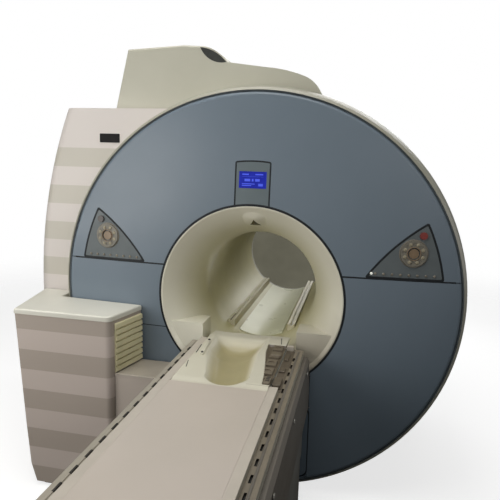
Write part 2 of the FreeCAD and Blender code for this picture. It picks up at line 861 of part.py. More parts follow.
def control_panel(side):
    """A three-cornered keypad with a flange behind the dome, a ring dial, a push button in it and a stop button."""
    sign = "" if side == "right" else "-"
    dial_spot = dome_spot(f"{sign}dial_x", "dial_z")
    stop_spot = dome_spot(f"{sign}stop_x", "stop_z")
    front = body(f"{side}_keypad_front")
    dome_layer(front, 0, "panel_wall")
    keep(front, sided(side, keypad_outline("-seam / 2")))
    round_edges(front, "pad_round", lambda edge: along(edge, 1))
    back = body(f"{side}_keypad_flange")
    dome_layer(back, "panel_wall", "panel_wall")
    keep(back, sided(side, keypad_outline("flange_lap")))
    keys = []
    for number in range(int(size("key_count"))):
        spot = dome_spot(f"{sign}(key_first + {number} * key_pitch)", "key_z")
        keys.append(cylinder(f"{side}_key_{number}", "key_radius", "-panel_wall", "key_height", spot))
    plate = joined(f"{side}_keypad_plate", front, back, *keys)
    seat = cylinder(f"{side}_stop_seat", "stop_radius + fit_gap", "-seat_depth", "panel_wall", stop_spot)
    hole = cylinder(f"{side}_push_seat", "push_radius + fit_gap", "-seat_depth", "panel_wall", dial_spot)
    node(without(f"{side}_control_panel", plate, joined(f"{side}_keypad_holes", seat, hole)))

    dial = body(f"{side}_ring_dial")
    pad(dial, "XY", "fit_gap", "dial_height", ("circle", 0, 0, "dial_radius"), ("circle", 0, 0, "dial_hole"))
    ring_middle = "(dial_radius + dial_hole) / 2"
    grip = pocket(dial, "XY", "fit_gap + dial_height - notch_depth", "notch_depth + 1", (
        "circle", ring_middle, 0, "notch_radius"))
    pattern = dial.newObject("PartDesign::PolarPattern", f"{side}_dial_notches")
    pattern.Originals = [grip]
    pattern.Axis = ([part for part in dial.Origin.OriginFeatures if part.Role == "Z_Axis"][0], [""])
    pattern.Angle = 360
    pattern.setExpression("Occurrences", words("dial_notches"))
    dial.Tip = pattern
    dial.Placement = dial_spot
    node(dial)

    node(cylinder(f"{side}_push_button", "push_radius", "-button_depth", "push_height", dial_spot))
    node(cylinder(f"{side}_stop_button", "stop_radius", "-button_depth", "stop_height", stop_spot))


# ---------------------------------------------------------------------------------------------------------------------
# Patient opening: flared funnel, arm ledges, lamp housing, the bay behind the table, and the rear mouth.

def inside_funnel(owner, front, back):
    """A round solid that fills the funnel from a depth behind the dome's edge plane to another."""
    turned(owner, "Revolution", [
        (NOSE, "0"),
        (NOSE, "mouth_radius - bore_wall - fit_gap", f"{FLARE_CURVE}"),
        (FLARE_END, "bore_radius - fit_gap"),
        (FLARE_END, "0"),
    ])
    whole = box("-trim_reach", "trim_reach", "-trim_reach", "trim_reach")
    pocket(owner, "XZ", "-trim_reach", f"trim_reach + {FRONT} + {front}", whole)
    pocket(owner, "XZ", f"{FRONT} + {back}", "trim_reach", whole)


def front_funnel():
    funnel = body("front_funnel")
    inner = "(mouth_radius - bore_wall)"
    turned(funnel, "Revolution", [
        (NOSE, inner),
        (NOSE, "mouth_radius"),
        (f"{NOSE} + 3 * panel_wall", "mouth_radius"),
        (f"{NOSE} + 3 * panel_wall", inner, FLARE_CURVE),
        (FLARE_END, "bore_radius + bore_wall"),
        (FLARE_END, "bore_radius", f"-{FLARE_CURVE}"),
    ])
    notch = box("-bay_half", "bay_half", "0", "axis_height")
    pocket(funnel, "XZ", f"{NOSE} - edge_depth", "edge_depth + dome_rise + bay_depth", notch)
    node(funnel)


def arm_ledges():
    """A flat-topped block on each side of the table, shaped to the funnel."""
    ledges = body("arm_ledges")
    inside_funnel(ledges, "ledge_front - dome_rise", "ledge_back")
    block = box("ledge_inner", "trim_reach / 2", "0", "ledge_top")
    keep(ledges, block, mirrored(block))
    node(ledges)


def lamp_housing():
    """The bump at the top of the funnel that holds the alignment lamp, and its dark window."""
    housing = body("lamp_housing")
    inside_funnel(housing, "lamp_front", "lamp_back")
    turned(housing, "Groove", [
        (f"{FRONT} + lamp_front - 1", "0"),
        (f"{FRONT} + lamp_front - 1", "bore_radius + lamp_drop"),
        (f"{FRONT} + lamp_back + 1", "bore_radius + lamp_drop_back"),
        (f"{FRONT} + lamp_back + 1", "0"),
    ])
    keep(housing, [
        ("-lamp_half", "axis_height"),
        ("lamp_half", "axis_height"),
        ("lamp_half_top", "trim_reach / 2"),
        ("-lamp_half_top", "trim_reach / 2"),
    ])
    lowest = size("bore_radius + lamp_drop + 1")

    def front_lip(edge):
        """The arc where the housing's front meets its underside."""
        ends = [vertex.Point for vertex in edge.Vertexes]
        return all(abs(point.y - size(f"{FRONT} + lamp_front")) < 0.1
                   and math.hypot(point.x, point.z - size("axis_height")) < lowest for point in ends)

    round_edges(housing, "lamp_round", front_lip)
    node(housing)


def table_bay():
    """The recess behind the table in which the tabletop's head end moves up and down."""
    bay = body("table_bay")
    wall = "panel_wall"
    low = f"bay_bottom - {wall}"
    outer = f"(bay_half + {wall})"
    start = f"({FRONT} - 3 * {wall})"
    depth = f"(bay_depth + 3 * {wall})"
    pad(bay, "XZ", start, f"{depth} + {wall}", box(f"-{outer}", outer, low, "axis_height"))
    pocket(bay, "XZ", f"{start} - 1", f"{depth} + 1", box("-bay_half", "bay_half", "bay_bottom", "axis_height + 1"))
    turned(bay, "Groove", [
        (f"{NOSE} - edge_depth", "0"),
        (f"{NOSE} - edge_depth", "mouth_radius - bore_wall + fit_gap"),
        (f"{NOSE} + 3 * {wall}", "mouth_radius - bore_wall + fit_gap", FLARE_CURVE),
        (FLARE_END, "bore_radius + bore_wall + fit_gap"),
        (FLARE_END, "0"),
    ])
    node(bay)


def rear_mouth():
    mouth = body("rear_mouth_ring")
    start = "(half_depth - rear_flare)"
    rise = "(rear_mouth - bore_radius)"
    curve = f"((rear_flare^2 + {rise}^2) / (2 * {rise}))"
    turned(mouth, "Revolution", [
        (start, "bore_radius", curve),
        ("half_depth", "rear_mouth"),
        ("half_depth", "rear_mouth + bore_wall", f"-{curve}"),
        (start, "bore_radius + bore_wall"),
    ])
    node(mouth)


def bore_trough():
    trough = body("bore_trough")
    outer = "(bore_radius - fit_gap)"
    turned(trough, "Revolution", box(FLARE_END, "half_depth - rear_flare", f"{outer} - trough_wall", outer))
    keep(trough, box("-trough_half", "trough_half", "0", "axis_height"))
    node(trough)


def bore_rails():
    """Two rails along the bore that carry the tabletop's edges, with a groove in each top."""
    rails = body("bore_rails")
    radius = "(bore_radius - fit_gap)"
    length = f"(half_depth - rear_flare - {FLARE_END})"
    middle = "(rail_inner + rail_outer) / 2"
    section = [
        ("rail_inner", f"axis_height - sqrt({radius}^2 - rail_inner^2)", radius),
        ("rail_outer", f"axis_height - sqrt({radius}^2 - rail_outer^2)"),
        ("rail_outer", RUN_TOP),
        ("rail_inner", RUN_TOP),
    ]
    groove = box(
        f"{middle} - rail_groove / 2", f"{middle} + rail_groove / 2", f"{RUN_TOP} - rail_groove", f"{RUN_TOP} + 1")
    for side in ("left", "right"):
        pad(rails, "XZ", FLARE_END, length, sided(side, section))
    for side in ("left", "right"):
        pocket(rails, "XZ", f"{FLARE_END} - 1", f"{length} + 2", sided(side, groove))
    node(rails)


# ---------------------------------------------------------------------------------------------------------------------
# Outer covers.

def crescent(label, inset, opening):
    """The space beside the magnet: curved outside, round inside, with its outer front edge rounded."""
    block = body(label)
    radius = f"(rim_back + fit_gap - ({opening}))"
    top = f"(side_top - ({inset}))"
    low = f"(floor_gap - ({opening}))"
    start = f"({FRONT} + side_front + ({inset}))"
    pad(block, "XZ", start, f"side_back - ({inset}) - {start}", [
        (f"-sqrt({radius}^2 - ({top} - axis_height)^2)", top),
        (f"-side_top_x + ({inset})", top, f"side_curve - ({inset})"),
        (f"-side_low_x + ({inset})", "side_knee"),
        (f"-side_low_x + ({inset})", low),
        (f"-sqrt({radius}^2 - (axis_height - {low})^2)", low, f"-{radius}"),
        (f"-{radius}", "axis_height", f"-{radius}"),
    ])
    front_y = size(start)
    reach = -size("(side_top_x + rim_back) / 2")

    def outer_front(edge):
        ends = [vertex.Point for vertex in edge.Vertexes]
        return all(abs(point.y - front_y) < 0.1 and point.x < reach for point in ends)

    round_edges(block, f"side_round - ({inset})", outer_front)
    return block


def left_side_cover():
    """The thin-walled cover beside the magnet, open towards it and at the floor."""
    node(without("left_side_cover", crescent("side_outside", "0", "0"), crescent("side_inside", "cover_wall", "20")))


def right_side_cover():
    """The round cover of the magnet from the floor on the right up to the shoulder of the top cover."""
    cover = body("right_side_cover")
    turned(cover, "Revolution", box(f"{FRONT} + rim_depth + seam", "rear_edge", f"{RING} + fit_gap", "rim_back"))
    keep(cover, box("shoulder_x + seam", "trim_reach / 2", "floor_gap", "trim_reach"))
    node(cover)


def turret(label, inset, opening):
    """The space over the magnet: the square turret on the left and the shoulder that runs down to the rim."""
    block = body(label)
    seat = f"({RING} + fit_gap - ({opening}))"
    low = f"(side_top + fit_gap - ({opening}))"
    start = f"({FRONT} + rim_depth + seam + ({inset}))"
    side = f"(shoulder_x - ({inset}))"
    pad(block, "XZ", start, f"turret_back - ({inset}) - {start}", [
        (f"-sqrt({seat}^2 - ({low} - axis_height)^2)", low, f"-{seat}"),
        (side, f"axis_height + sqrt({seat}^2 - {side}^2)"),
        (side, f"shoulder_low_z - ({inset}) / 2", "shoulder_curve"),
        (f"shoulder_turn_x - ({inset}) / 2", f"shoulder_turn_z - ({inset})", "shoulder_bow"),
        ("shoulder_mid_x", f"shoulder_mid_z - ({inset})"),
        ("-intake_foot_x", f"intake_foot_z - ({inset})", "intake_curve"),
        ("-turret_edge_x", f"turret_edge_z - ({inset})"),
        ("-turret_peak_x", f"turret_peak_z - ({inset})"),
        (f"-turret_left_x + ({inset})", f"turret_left_z - ({inset})"),
        (f"-turret_foot_x + ({inset})", low),
    ])
    return block


def air_intake():
    """The outline of the dark opening in the turret's corner, between its edge and an arc inside it."""
    return [
        ("-turret_edge_x - intake_lead", "turret_edge_z - intake_frame", "intake_inner"),
        ("-intake_foot_x - intake_frame", "intake_foot_z", "intake_curve"),
    ]


def top_cover():
    """The thin-walled cover over the magnet, open below, with the air intake and its grille."""
    front = f"({FRONT} + rim_depth + seam)"
    outside = turret("turret_outside", "0", "0")
    front_y = size(front)
    corner_x = -size("turret_edge_x")

    def outer_front(edge):
        """The turret's left and top edges in front, up to the air intake."""
        ends = [vertex.Point for vertex in edge.Vertexes]
        level = max(point.z for point in ends) < size("side_top + 1")
        return not level and all(abs(point.y - front_y) < 0.1 and point.x < corner_x + 1 for point in ends)

    round_edges(outside, "turret_round", outer_front)
    pocket(outside, "XZ", f"{front} - 1", "grille_depth + 1", air_intake())
    node(without("top_cover", outside, turret("turret_inside", "cover_wall", "20")))
    grille = body("intake_grille")
    pad(grille, "XZ", f"{front} + cover_wall / 3", "grille_depth / 2", air_intake())
    node(grille)


def rear_cover():
    cover = body("rear_cover")
    wall = "panel_wall"
    inner = "(rear_mouth + bore_wall + fit_gap)"
    turned(cover, "Revolution", [
        ("rear_face", inner),
        ("rear_edge + edge_roll", "rim_back - edge_roll", "edge_roll"),
        ("rear_edge", "rim_back"),
        ("rear_edge", f"rim_back - {wall}"),
        (f"rear_edge + edge_roll - {wall}", "rim_back - edge_roll"),
        (f"rear_face - {wall}", inner),
    ])
    cut_floor(cover)
    node(cover)


# ---------------------------------------------------------------------------------------------------------------------
# Cabinet and ledge box beside the table.

def cabinet_plan(taper, grow="0"):
    """The cabinet's outline from above: angled right side, flared left side, and a step round the dome's edge."""
    radius = f"(cabinet_round + ({grow}))"
    reach = f"({radius} * (cabinet_side - cabinet_lean) / cabinet_depth)"
    front = f"({FRONT} - cabinet_front - ({grow}))"
    return [
        (f"-cabinet_left + ({taper}) - ({grow})", front),
        (f"-cabinet_right + ({grow}) - {reach}", front, radius),
        (f"-cabinet_right + ({grow}) + {reach} * cabinet_lean / cabinet_side",
         f"{front} + {reach} * cabinet_depth / cabinet_side"),
        (f"-cabinet_right + cabinet_lean + ({grow})", f"{FRONT} - cabinet_back"),
        ("-cabinet_inset", f"{FRONT} - cabinet_step"),
        ("-cabinet_inset", f"{FRONT} + cabinet_reach"),
        (f"-cabinet_left - cabinet_flare + ({taper}) - ({grow})", f"{FRONT} + cabinet_reach"),
    ]


def cabinet():
    shell = body("cabinet_shell")
    levels = [
        ("cabinet_foot", "foot_taper"),
        ("(cabinet_foot + knee_height) / 3", "(foot_taper + knee_taper) / 2.2"),
        ("knee_height", "knee_taper"),
        ("cabinet_top", "0"),
    ]
    sections = []
    for height, taper in levels:
        section = sketch_on(shell, "XY", height)
        outline(section, cabinet_plan(taper))
        sections.append(section)
    loft = shell.newObject("PartDesign::AdditiveLoft", "cabinet_loft")
    loft.Profile = sections[0]
    loft.Sections = sections[1:]
    loft.Ruled = True
    node(shell)
    lid = body("cabinet_lid")
    pad(lid, "XY", "cabinet_top", "lid_wall", cabinet_plan("0", "lid_lap"))
    round_edges(lid, "lid_wall / 3", lambda edge: abs(edge.CenterOfMass.z - size("cabinet_top + lid_wall")) < 0.1)
    node(lid)
    plinth = body("cabinet_plinth")
    pad(plinth, "XY", 0, "cabinet_foot", cabinet_plan("foot_taper", "-plinth_inset"))
    node(plinth)


def cabinet_louvres():
    """A stack of sloping ribs on the cabinet's right side."""
    ribs = body("cabinet_louvres")
    count = int(size("louvre_count"))
    corners = [("0", f"-{count} * louvre_pitch"), ("louvre_edge", f"-{count} * louvre_pitch")]
    for number in reversed(range(count)):
        corners.append(("louvre_depth", f"-{number} * louvre_pitch - 3 * louvre_pitch / 4"))
        corners.append(("louvre_depth - louvre_edge", f"-{number} * louvre_pitch - louvre_edge"))
        corners.append(("louvre_edge", f"-{number} * louvre_pitch"))
    corners.append(("0", "0"))
    pad(ribs, "XZ", "0", "cabinet_side - louvre_start - louvre_margin", corners)
    lean = math.degrees(math.atan2(size("cabinet_lean"), size("cabinet_depth")))
    corner = FreeCAD.Vector(-size("cabinet_right"), size(f"{FRONT} - cabinet_front"), size("louvre_top"))
    turn = FreeCAD.Rotation(FreeCAD.Vector(0, 0, 1), -lean)
    ribs.Placement = FreeCAD.Placement(corner + turn.multVec(FreeCAD.Vector(0, size("louvre_start"), 0)), turn)
    node(ribs)


def ledge_box():
    """The low box between the cabinet and the table, on a set-back plinth."""

    def plan(inset, behind):
        front = f"({FRONT} - box_front + ({inset}))"
        back = f"({FRONT} - cabinet_back - ({behind}))"
        slope = "cabinet_lean / cabinet_depth"
        left_front = f"-cabinet_right + (cabinet_front - box_front) * {slope} + box_side + ({inset})"
        left_back = f"-cabinet_right + cabinet_lean + box_side + ({inset})"
        right = f"-box_right - ({inset})"
        return [(left_front, front), (right, front), (right, back), (left_back, back)]

    shell = body("ledge_box")
    pad(shell, "XY", "box_bottom", "box_top - box_bottom", plan("0", "0"))
    pad(shell, "XY", "box_top", "box_lid", plan("-box_lap", "0"))
    lid_top = size("box_top + box_lid")
    round_edges(shell, "box_round", lambda edge: abs(edge.BoundBox.ZMin - lid_top) < 0.1)
    node(shell)
    plinth = body("ledge_box_plinth")
    pad(plinth, "XY", 0, "box_bottom", plan("plinth_inset", "plinth_inset"))
    node(plinth)


# ---------------------------------------------------------------------------------------------------------------------
# Patient table.

def board_section(top):
    """The tabletop across: thin flanges that run on the rails and a belly that follows the bore."""
    belly = "axis_height - sqrt(belly_radius^2 - belly_half^2)"
    return [
        ("-board_half", "board_top - board_edge"),
        ("-belly_half", "board_top - board_edge"),
        ("-belly_half", belly, "belly_radius"),
        ("belly_half", belly),
        ("belly_half", "board_top - board_edge"),
        ("board_half", "board_top - board_edge"),
        ("board_half", top),
        ("-board_half", top),
    ]


def tabletop():
    board = body("tabletop_board")
    length = "(board_length - head_length)"
    pad(board, "XZ", f"{BOARD_HEAD} - board_length", length, board_section("board_top"))
    node(board)

    blank = body("head_blank")
    pad(blank, "XZ", f"{BOARD_HEAD} - head_length", "head_length", board_section("board_top + head_rise"))
    pocket(blank, "XY", "socket_floor", "head_rise + board_edge", box(
        "socket_inner", "socket_outer", f"{BOARD_HEAD} - socket_start - socket_length", f"{BOARD_HEAD} - socket_start"))
    near = FreeCAD.Vector(
        size("bowl_near_x"), size(f"{BOARD_HEAD} - bowl_end"), size("board_top - bowl_depth + bowl_near_radius"))
    far = FreeCAD.Vector(
        size("bowl_far_x"), size(f"{BOARD_HEAD} - bowl_start"), size("board_top - bowl_depth + bowl_far_radius"))
    flare = (size("bowl_far_radius") - size("bowl_near_radius")) / (far - near).Length
    bowl = doc.addObject("Part::Cone", "bowl_channel")
    bowl.setExpression("Radius1", words("bowl_near_radius"))
    bowl.setExpression("Radius2", words("bowl_far_radius"))
    bowl.Height = (far - near).Length
    turn = FreeCAD.Rotation(FreeCAD.Vector(0, 0, 1), FreeCAD.Vector(), far - near, "ZXY")
    bowl.Placement = FreeCAD.Placement(near, turn)
    ball = doc.addObject("Part::Sphere", "bowl_end_round")
    ball.Radius = size("bowl_near_radius") * math.hypot(1, flare)
    inside = turn.multVec(FreeCAD.Vector(0, 0, size("bowl_near_radius") * flare))
    ball.Placement = FreeCAD.Placement(near + inside, turn)
    node(without("tabletop_head", blank, joined("bowl_shape", bowl, ball)))


def coil_sockets():
    """The row of connector blocks in the recess beside the head."""
    sockets = body("coil_sockets")
    pitch = "(socket_length / socket_count)"
    blocks = []
    holes = []
    for number in range(int(size("socket_count"))):
        start = f"({BOARD_HEAD} - socket_start - socket_length + {number} * {pitch} + socket_space / 2)"
        length = f"({pitch} - socket_space)"
        blocks.append(box("socket_inner + socket_side", "socket_outer - socket_side", start, f"{start} + {length}"))
        holes.append(("circle", "(socket_inner + socket_outer) / 2", f"{start} + {length} / 2", "socket_hole"))
    pad(sockets, "XY", "socket_floor", "board_edge", *blocks)
    pocket(sockets, "XY", "socket_floor + board_edge - socket_deep", "board_edge", *holes)
    node(sockets)


def table_frame():
    """A ladder frame: two beams that carry the glide strips, joined by cross bars below the tabletop's belly."""
    frame = body("table_frame")
    bays = []
    for number in range(int(size("bay_count"))):
        start = f"({TABLE_FOOT} + bar_width + {number} * bar_pitch)"
        bays.append(box("-beam_inner", "beam_inner", start, f"{start} + bar_pitch - bar_width"))
    pad(frame, "XY", "frame_bottom", "bar_height", box("-beam_outer", "beam_outer", TABLE_FOOT, TABLE_HEAD), *bays)
    for side in ("left", "right"):
        pad(frame, "XY", "frame_bottom", "frame_top - frame_bottom", sided(side, box(
            "beam_inner", "beam_outer", TABLE_FOOT, TABLE_HEAD)))
    node(frame)


def glide_strips():
    strips = body("glide_strips")
    for side in ("left", "right"):
        pad(strips, "XY", "frame_top", f"{RUN_TOP} - frame_top", sided(side, box(
            "beam_inner + 2", "board_half - slide_gap", TABLE_FOOT, TABLE_HEAD)))
    node(strips)


def slotted_rail(side):
    """The accessory rail along the table's edge: a strip level with the tabletop and a lower ledge with slots.

    The right strip is cut down beside the coil sockets.
    """
    rail = body(f"{side}_slotted_rail")
    strip = "(board_half + slide_gap)"
    pad(rail, "XZ", TABLE_FOOT, "frame_length", sided(side, [
        ("beam_outer", "rail_bottom"),
        ("lug_outer", "rail_bottom"),
        ("lug_outer", "lip_bottom"),
        ("lip_outer", "lip_bottom"),
        ("lip_outer", "slot_top"),
        ("strip_outer", "slot_top"),
        ("strip_outer", "board_top"),
        (strip, "board_top"),
        (strip, "frame_top"),
        ("beam_outer", "frame_top"),
    ]))
    if side == "right":
        recess = f"({TABLE_HEAD} - recess_start)"
        pocket(rail, "XY", "slot_top", "slot_drop + 1", box(
            "board_half", "lug_outer", f"{recess} - recess_length", recess))
    first = f"({TABLE_HEAD} - slot_first)"
    slot = pocket(rail, "XY", "slot_top - slot_depth", "slot_depth + 1", sided(side, box(
        "slot_x - slot_width / 2", "slot_x + slot_width / 2", f"{first} - slot_length", first)))
    pattern = rail.newObject("PartDesign::LinearPattern", f"{side}_slots")
    pattern.Originals = [slot]
    pattern.Direction = ([part for part in rail.Origin.OriginFeatures if part.Role == "Y_Axis"][0], [""])
    pattern.Reversed = True
    pattern.setExpression("Length", words("slot_pitch * (slot_count - 1)"))
    pattern.setExpression("Occurrences", words("slot_count"))
    rail.Tip = pattern
    node(rail)


def table_skirt(side):
    """The moving side cover, hung under the slotted rail, with a lip inwards at its lower edge."""
    skirt = body(f"{side}_table_skirt")
    wall = "skirt_wall"
    lip = "low_cover_half + 2 * fit_gap + telescope_wall"
    pad(skirt, "XZ", TABLE_FOOT, "frame_length", sided(side, [
        ("lug_outer + fit_gap", "lip_bottom - fit_gap"),
        ("lug_outer + fit_gap", f"lip_bottom - fit_gap - {wall}"),
        (f"skirt_shoulder - {wall}", f"lip_bottom - fit_gap - {wall}"),
        (f"skirt_side - {wall}", "rail_bottom"),
        (f"skirt_low - {wall}", "skirt_bottom + skirt_taper"),
        (f"skirt_low - {wall}", f"skirt_bottom + {wall}"),
        (lip, f"skirt_bottom + {wall}"),
        (lip, "skirt_bottom"),
        ("skirt_low", "skirt_bottom"),
        ("skirt_low", "skirt_bottom + skirt_taper"),
        ("skirt_side", "rail_bottom"),
        ("skirt_shoulder", "lip_bottom - fit_gap"),
    ]))
    node(skirt)


def table_ends():
    head = body("table_head_cover")
    pad(head, "XZ", TABLE_HEAD, "skirt_wall", [
        ("-skirt_low", "skirt_bottom"),
        ("skirt_low", "skirt_bottom"),
        ("skirt_side", "rail_bottom"),
        ("skirt_shoulder", "lip_bottom - fit_gap"),
        ("beam_outer", "lip_bottom - fit_gap"),
        ("beam_outer", "frame_bottom + bar_height"),
        ("-beam_outer", "frame_bottom + bar_height"),
        ("-beam_outer", "lip_bottom - fit_gap"),
        ("-skirt_shoulder", "lip_bottom - fit_gap"),
        ("-skirt_side", "rail_bottom"),
    ])
    node(head)
    foot = body("table_foot_cover")
    pad(foot, "XZ", f"{TABLE_FOOT} - cap_depth", "cap_depth", [
        ("-skirt_low", "skirt_bottom"),
        ("skirt_low", "skirt_bottom"),
        ("skirt_side", "rail_bottom"),
        ("skirt_shoulder", "lip_bottom"),
        ("lip_outer", "slot_top"),
        ("strip_outer", "board_top"),
        ("-strip_outer", "board_top"),
        ("-lip_outer", "slot_top"),
        ("-skirt_shoulder", "lip_bottom"),
        ("-skirt_side", "rail_bottom"),
    ])
    back_y = size(f"{TABLE_FOOT} - cap_depth")
    round_edges(foot, "cap_depth / 2", lambda edge: abs(edge.BoundBox.YMax - back_y) < 0.1)
    node(foot)


def telescope(label, half, end, low, high):
    """A rectangular sleeve round the lift, open above and below."""
    sleeve = body(label)
    outer_end = f"({end})"
    wall = "telescope_wall"
    pad(sleeve, "XY", low, f"({high}) - ({low})",
        box(f"-({half})", half, f"{TABLE_FOOT} + {outer_end}", f"{TABLE_HEAD} - {outer_end}"),
        box(f"-({half}) + {wall}", f"{half} - {wall}",
            f"{TABLE_FOOT} + {outer_end} + {wall}", f"{TABLE_HEAD} - {outer_end} - {wall}"))
    node(sleeve)


def lift_covers():
    plate = body("table_base_plate")
    outer = "(telescope_end + 2 * telescope_wall)"
    front = f"({TABLE_HEAD} - {outer})"
    pad(plate, "XY", 0, "table_plate", box("-low_cover_half", "low_cover_half", f"{TABLE_FOOT} + {outer}", front))
    pad(plate, "XY", 0, "table_plate", box("-tongue_half", "tongue_half", front, "-base_half_y"))
    node(plate)
    telescope("lower_lift_cover", "low_cover_half", outer, "table_plate", "low_cover_top")
    telescope("middle_lift_cover", "low_cover_half + fit_gap + telescope_wall", "telescope_end - fit_gap",
              "middle_bottom", "middle_top")


def lift_columns():
    """Two hydraulic cylinders on the base plate and their rams, which carry the frame's cross bars."""
    centres = [f"({TABLE_HEAD} - bar_pitch - bar_width / 2)", f"({TABLE_FOOT} + bar_pitch + bar_width / 2)"]
    cylinders = body("lift_cylinders")
    barrels = [("circle", 0, centre, "cylinder_radius") for centre in centres]
    pad(cylinders, "XY", "table_plate", "cylinder_top - table_plate", *barrels)
    bores = [("circle", 0, centre, "ram_radius + fit_gap") for centre in centres]
    pocket(cylinders, "XY", "2 * table_plate", "cylinder_top", *bores)
    node(cylinders)
    rams = body("lift_rams")
    rods = [("circle", 0, centre, "ram_radius") for centre in centres]
    pad(rams, "XY", "ram_bottom", "frame_bottom - ram_bottom", *rods)
    node(rams)


def build():
    magnet_vessel()
    bore_tubes()
    magnet_saddles()
    magnet_base_plate()
    cover_rings()
    upper_front_panel()
    lower_front_panels()
    low_centre_cover()
    dome_seals()
    rim_cover()
    display()
    for side in ("left", "right"):
        control_panel(side)
    front_funnel()
    arm_ledges()
    lamp_housing()
    table_bay()
    rear_mouth()
    bore_trough()
    bore_rails()
    left_side_cover()
    right_side_cover()
    top_cover()
    rear_cover()
    cabinet()
    cabinet_louvres()
    ledge_box()
    tabletop()
    coil_sockets()
    table_frame()
    glide_strips()
    for side in ("left", "right"):
        slotted_rail(side)
        table_skirt(side)
    table_ends()
    lift_covers()
    lift_columns()


def check():
    """Stop if any object failed, any cut removed nothing or any piece is empty or invalid."""
    faults = []
    for item in doc.Objects:
        if "Invalid" in item.State or "Error" in item.State:
            faults.append(f"{item.Name}: {item.State}")
        if item.TypeId in ("PartDesign::Pocket", "PartDesign::Groove"):
            before = item.BaseFeature.Shape.Volume
            if item.Shape.Volume > before - 1:
                faults.append(f"{item.Name}: cuts nothing")
    for piece in NODES:
        if piece.Shape.isNull() or not piece.Shape.isValid() or piece.Shape.Volume < 1:
            faults.append(f"{piece.Label}: bad shape")
    if faults:
        raise SystemExit("\n".join(faults))


build()
doc.recompute()
check()
os.makedirs("parts", exist_ok=True)
for piece in NODES:
    piece.Shape.exportStep(f"parts/{piece.Label}.step")
    print(f"{piece.Label}: {len(piece.Shape.Solids)} solids, {piece.Shape.Volume / 1e6:.3f} litres")
print(len(NODES), "pieces")
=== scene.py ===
"""Looks of the imaging scanner and its patient table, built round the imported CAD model. Metres, +Y into the bore."""
import math

import bmesh
import bpy
from mathutils import Matrix, Vector


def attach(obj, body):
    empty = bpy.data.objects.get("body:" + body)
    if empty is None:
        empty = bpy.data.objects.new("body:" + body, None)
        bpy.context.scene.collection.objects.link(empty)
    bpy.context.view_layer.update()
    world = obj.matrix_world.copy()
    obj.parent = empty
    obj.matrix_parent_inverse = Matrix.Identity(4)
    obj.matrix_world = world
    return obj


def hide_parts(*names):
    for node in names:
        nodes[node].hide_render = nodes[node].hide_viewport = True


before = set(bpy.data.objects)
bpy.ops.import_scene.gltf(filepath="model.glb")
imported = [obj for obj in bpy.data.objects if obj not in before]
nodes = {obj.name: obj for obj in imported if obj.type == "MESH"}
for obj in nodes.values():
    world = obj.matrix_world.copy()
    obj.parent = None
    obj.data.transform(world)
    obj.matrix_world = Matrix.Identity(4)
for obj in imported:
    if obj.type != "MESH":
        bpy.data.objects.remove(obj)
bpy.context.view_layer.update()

# --------------------------------------------------------------------------------------------------
# Magnet: a painted steel vessel with its coils, held in two saddles on a base plate, with rings that carry the
# covers. It is welded and cast work that the covers hide, so it has plain industrial finishes.


def shade(tone):
    """A tone as it reads on a screen, red, green and blue from 0 to 255, turned into the shader's own numbers."""
    parts = [value / 255 for value in tone]
    return (*(p / 12.92 if p < 0.04045 else ((p + 0.055) / 1.055) ** 2.4 for p in parts), 1.0)


def put(tree, kind, inputs=None, **settings):
    """Add a node to a tree, with its settings and the values or links of its inputs."""
    made = tree.nodes.new(kind)
    for name, value in settings.items():
        setattr(made, name, value)
    for name, value in (inputs or {}).items():
        socket = made.inputs[name]
        if isinstance(value, bpy.types.NodeSocket):
            tree.links.new(value, socket)
        else:
            socket.default_value = value
    return made


def maths(tree, operation, *values, **settings):
    """The result of one step of arithmetic on values or links."""
    return put(tree, "ShaderNodeMath", dict(enumerate(values)), operation=operation, **settings).outputs[0]


def object_place(tree):
    """Where a point of the surface lies, in the object's own metres."""
    return put(tree, "ShaderNodeTexCoord").outputs["Object"]


def effect(name, inputs, output):
    """A shader node group with number inputs and one number output. Returns its tree, inputs and output."""
    tree = bpy.data.node_groups.new(name, "ShaderNodeTree")
    for label, value in inputs.items():
        socket = tree.interface.new_socket(label, in_out="INPUT", socket_type="NodeSocketFloat")
        socket.default_value = value
    tree.interface.new_socket(output, in_out="OUTPUT", socket_type="NodeSocketFloat")
    return tree, tree.nodes.new("NodeGroupInput").outputs, tree.nodes.new("NodeGroupOutput").inputs[output]


# Soft clouds of slightly different tone, as on every large moulding and sprayed panel.
mottle, given, result = effect("soft_mottle", {"Scale": 3.0, "Soft": 0.5}, "Mask")
place = object_place(mottle)
cloud = put(mottle, "ShaderNodeTexNoise", {
    "Vector": place, "Scale": given["Scale"], "Detail": 5.0, "Roughness": given["Soft"]})
spread = put(mottle, "ShaderNodeMapRange", {"Value": cloud.outputs["Fac"], "From Min": 0.3, "From Max": 0.7})
mottle.links.new(spread.outputs["Result"], result)

# Fine grain of a moulded or sprayed skin, as a height for bump.
grain, given, result = effect("fine_grain", {"Scale": 600.0, "Ripple": 40.0}, "Height")
place = object_place(grain)
fine = put(grain, "ShaderNodeTexNoise", {"Vector": place, "Scale": given["Scale"], "Detail": 2.0})
broad = put(grain, "ShaderNodeTexNoise", {"Vector": place, "Scale": given["Ripple"], "Detail": 1.0})
grain.links.new(maths(grain, "ADD", fine.outputs["Fac"], broad.outputs["Fac"]), result)

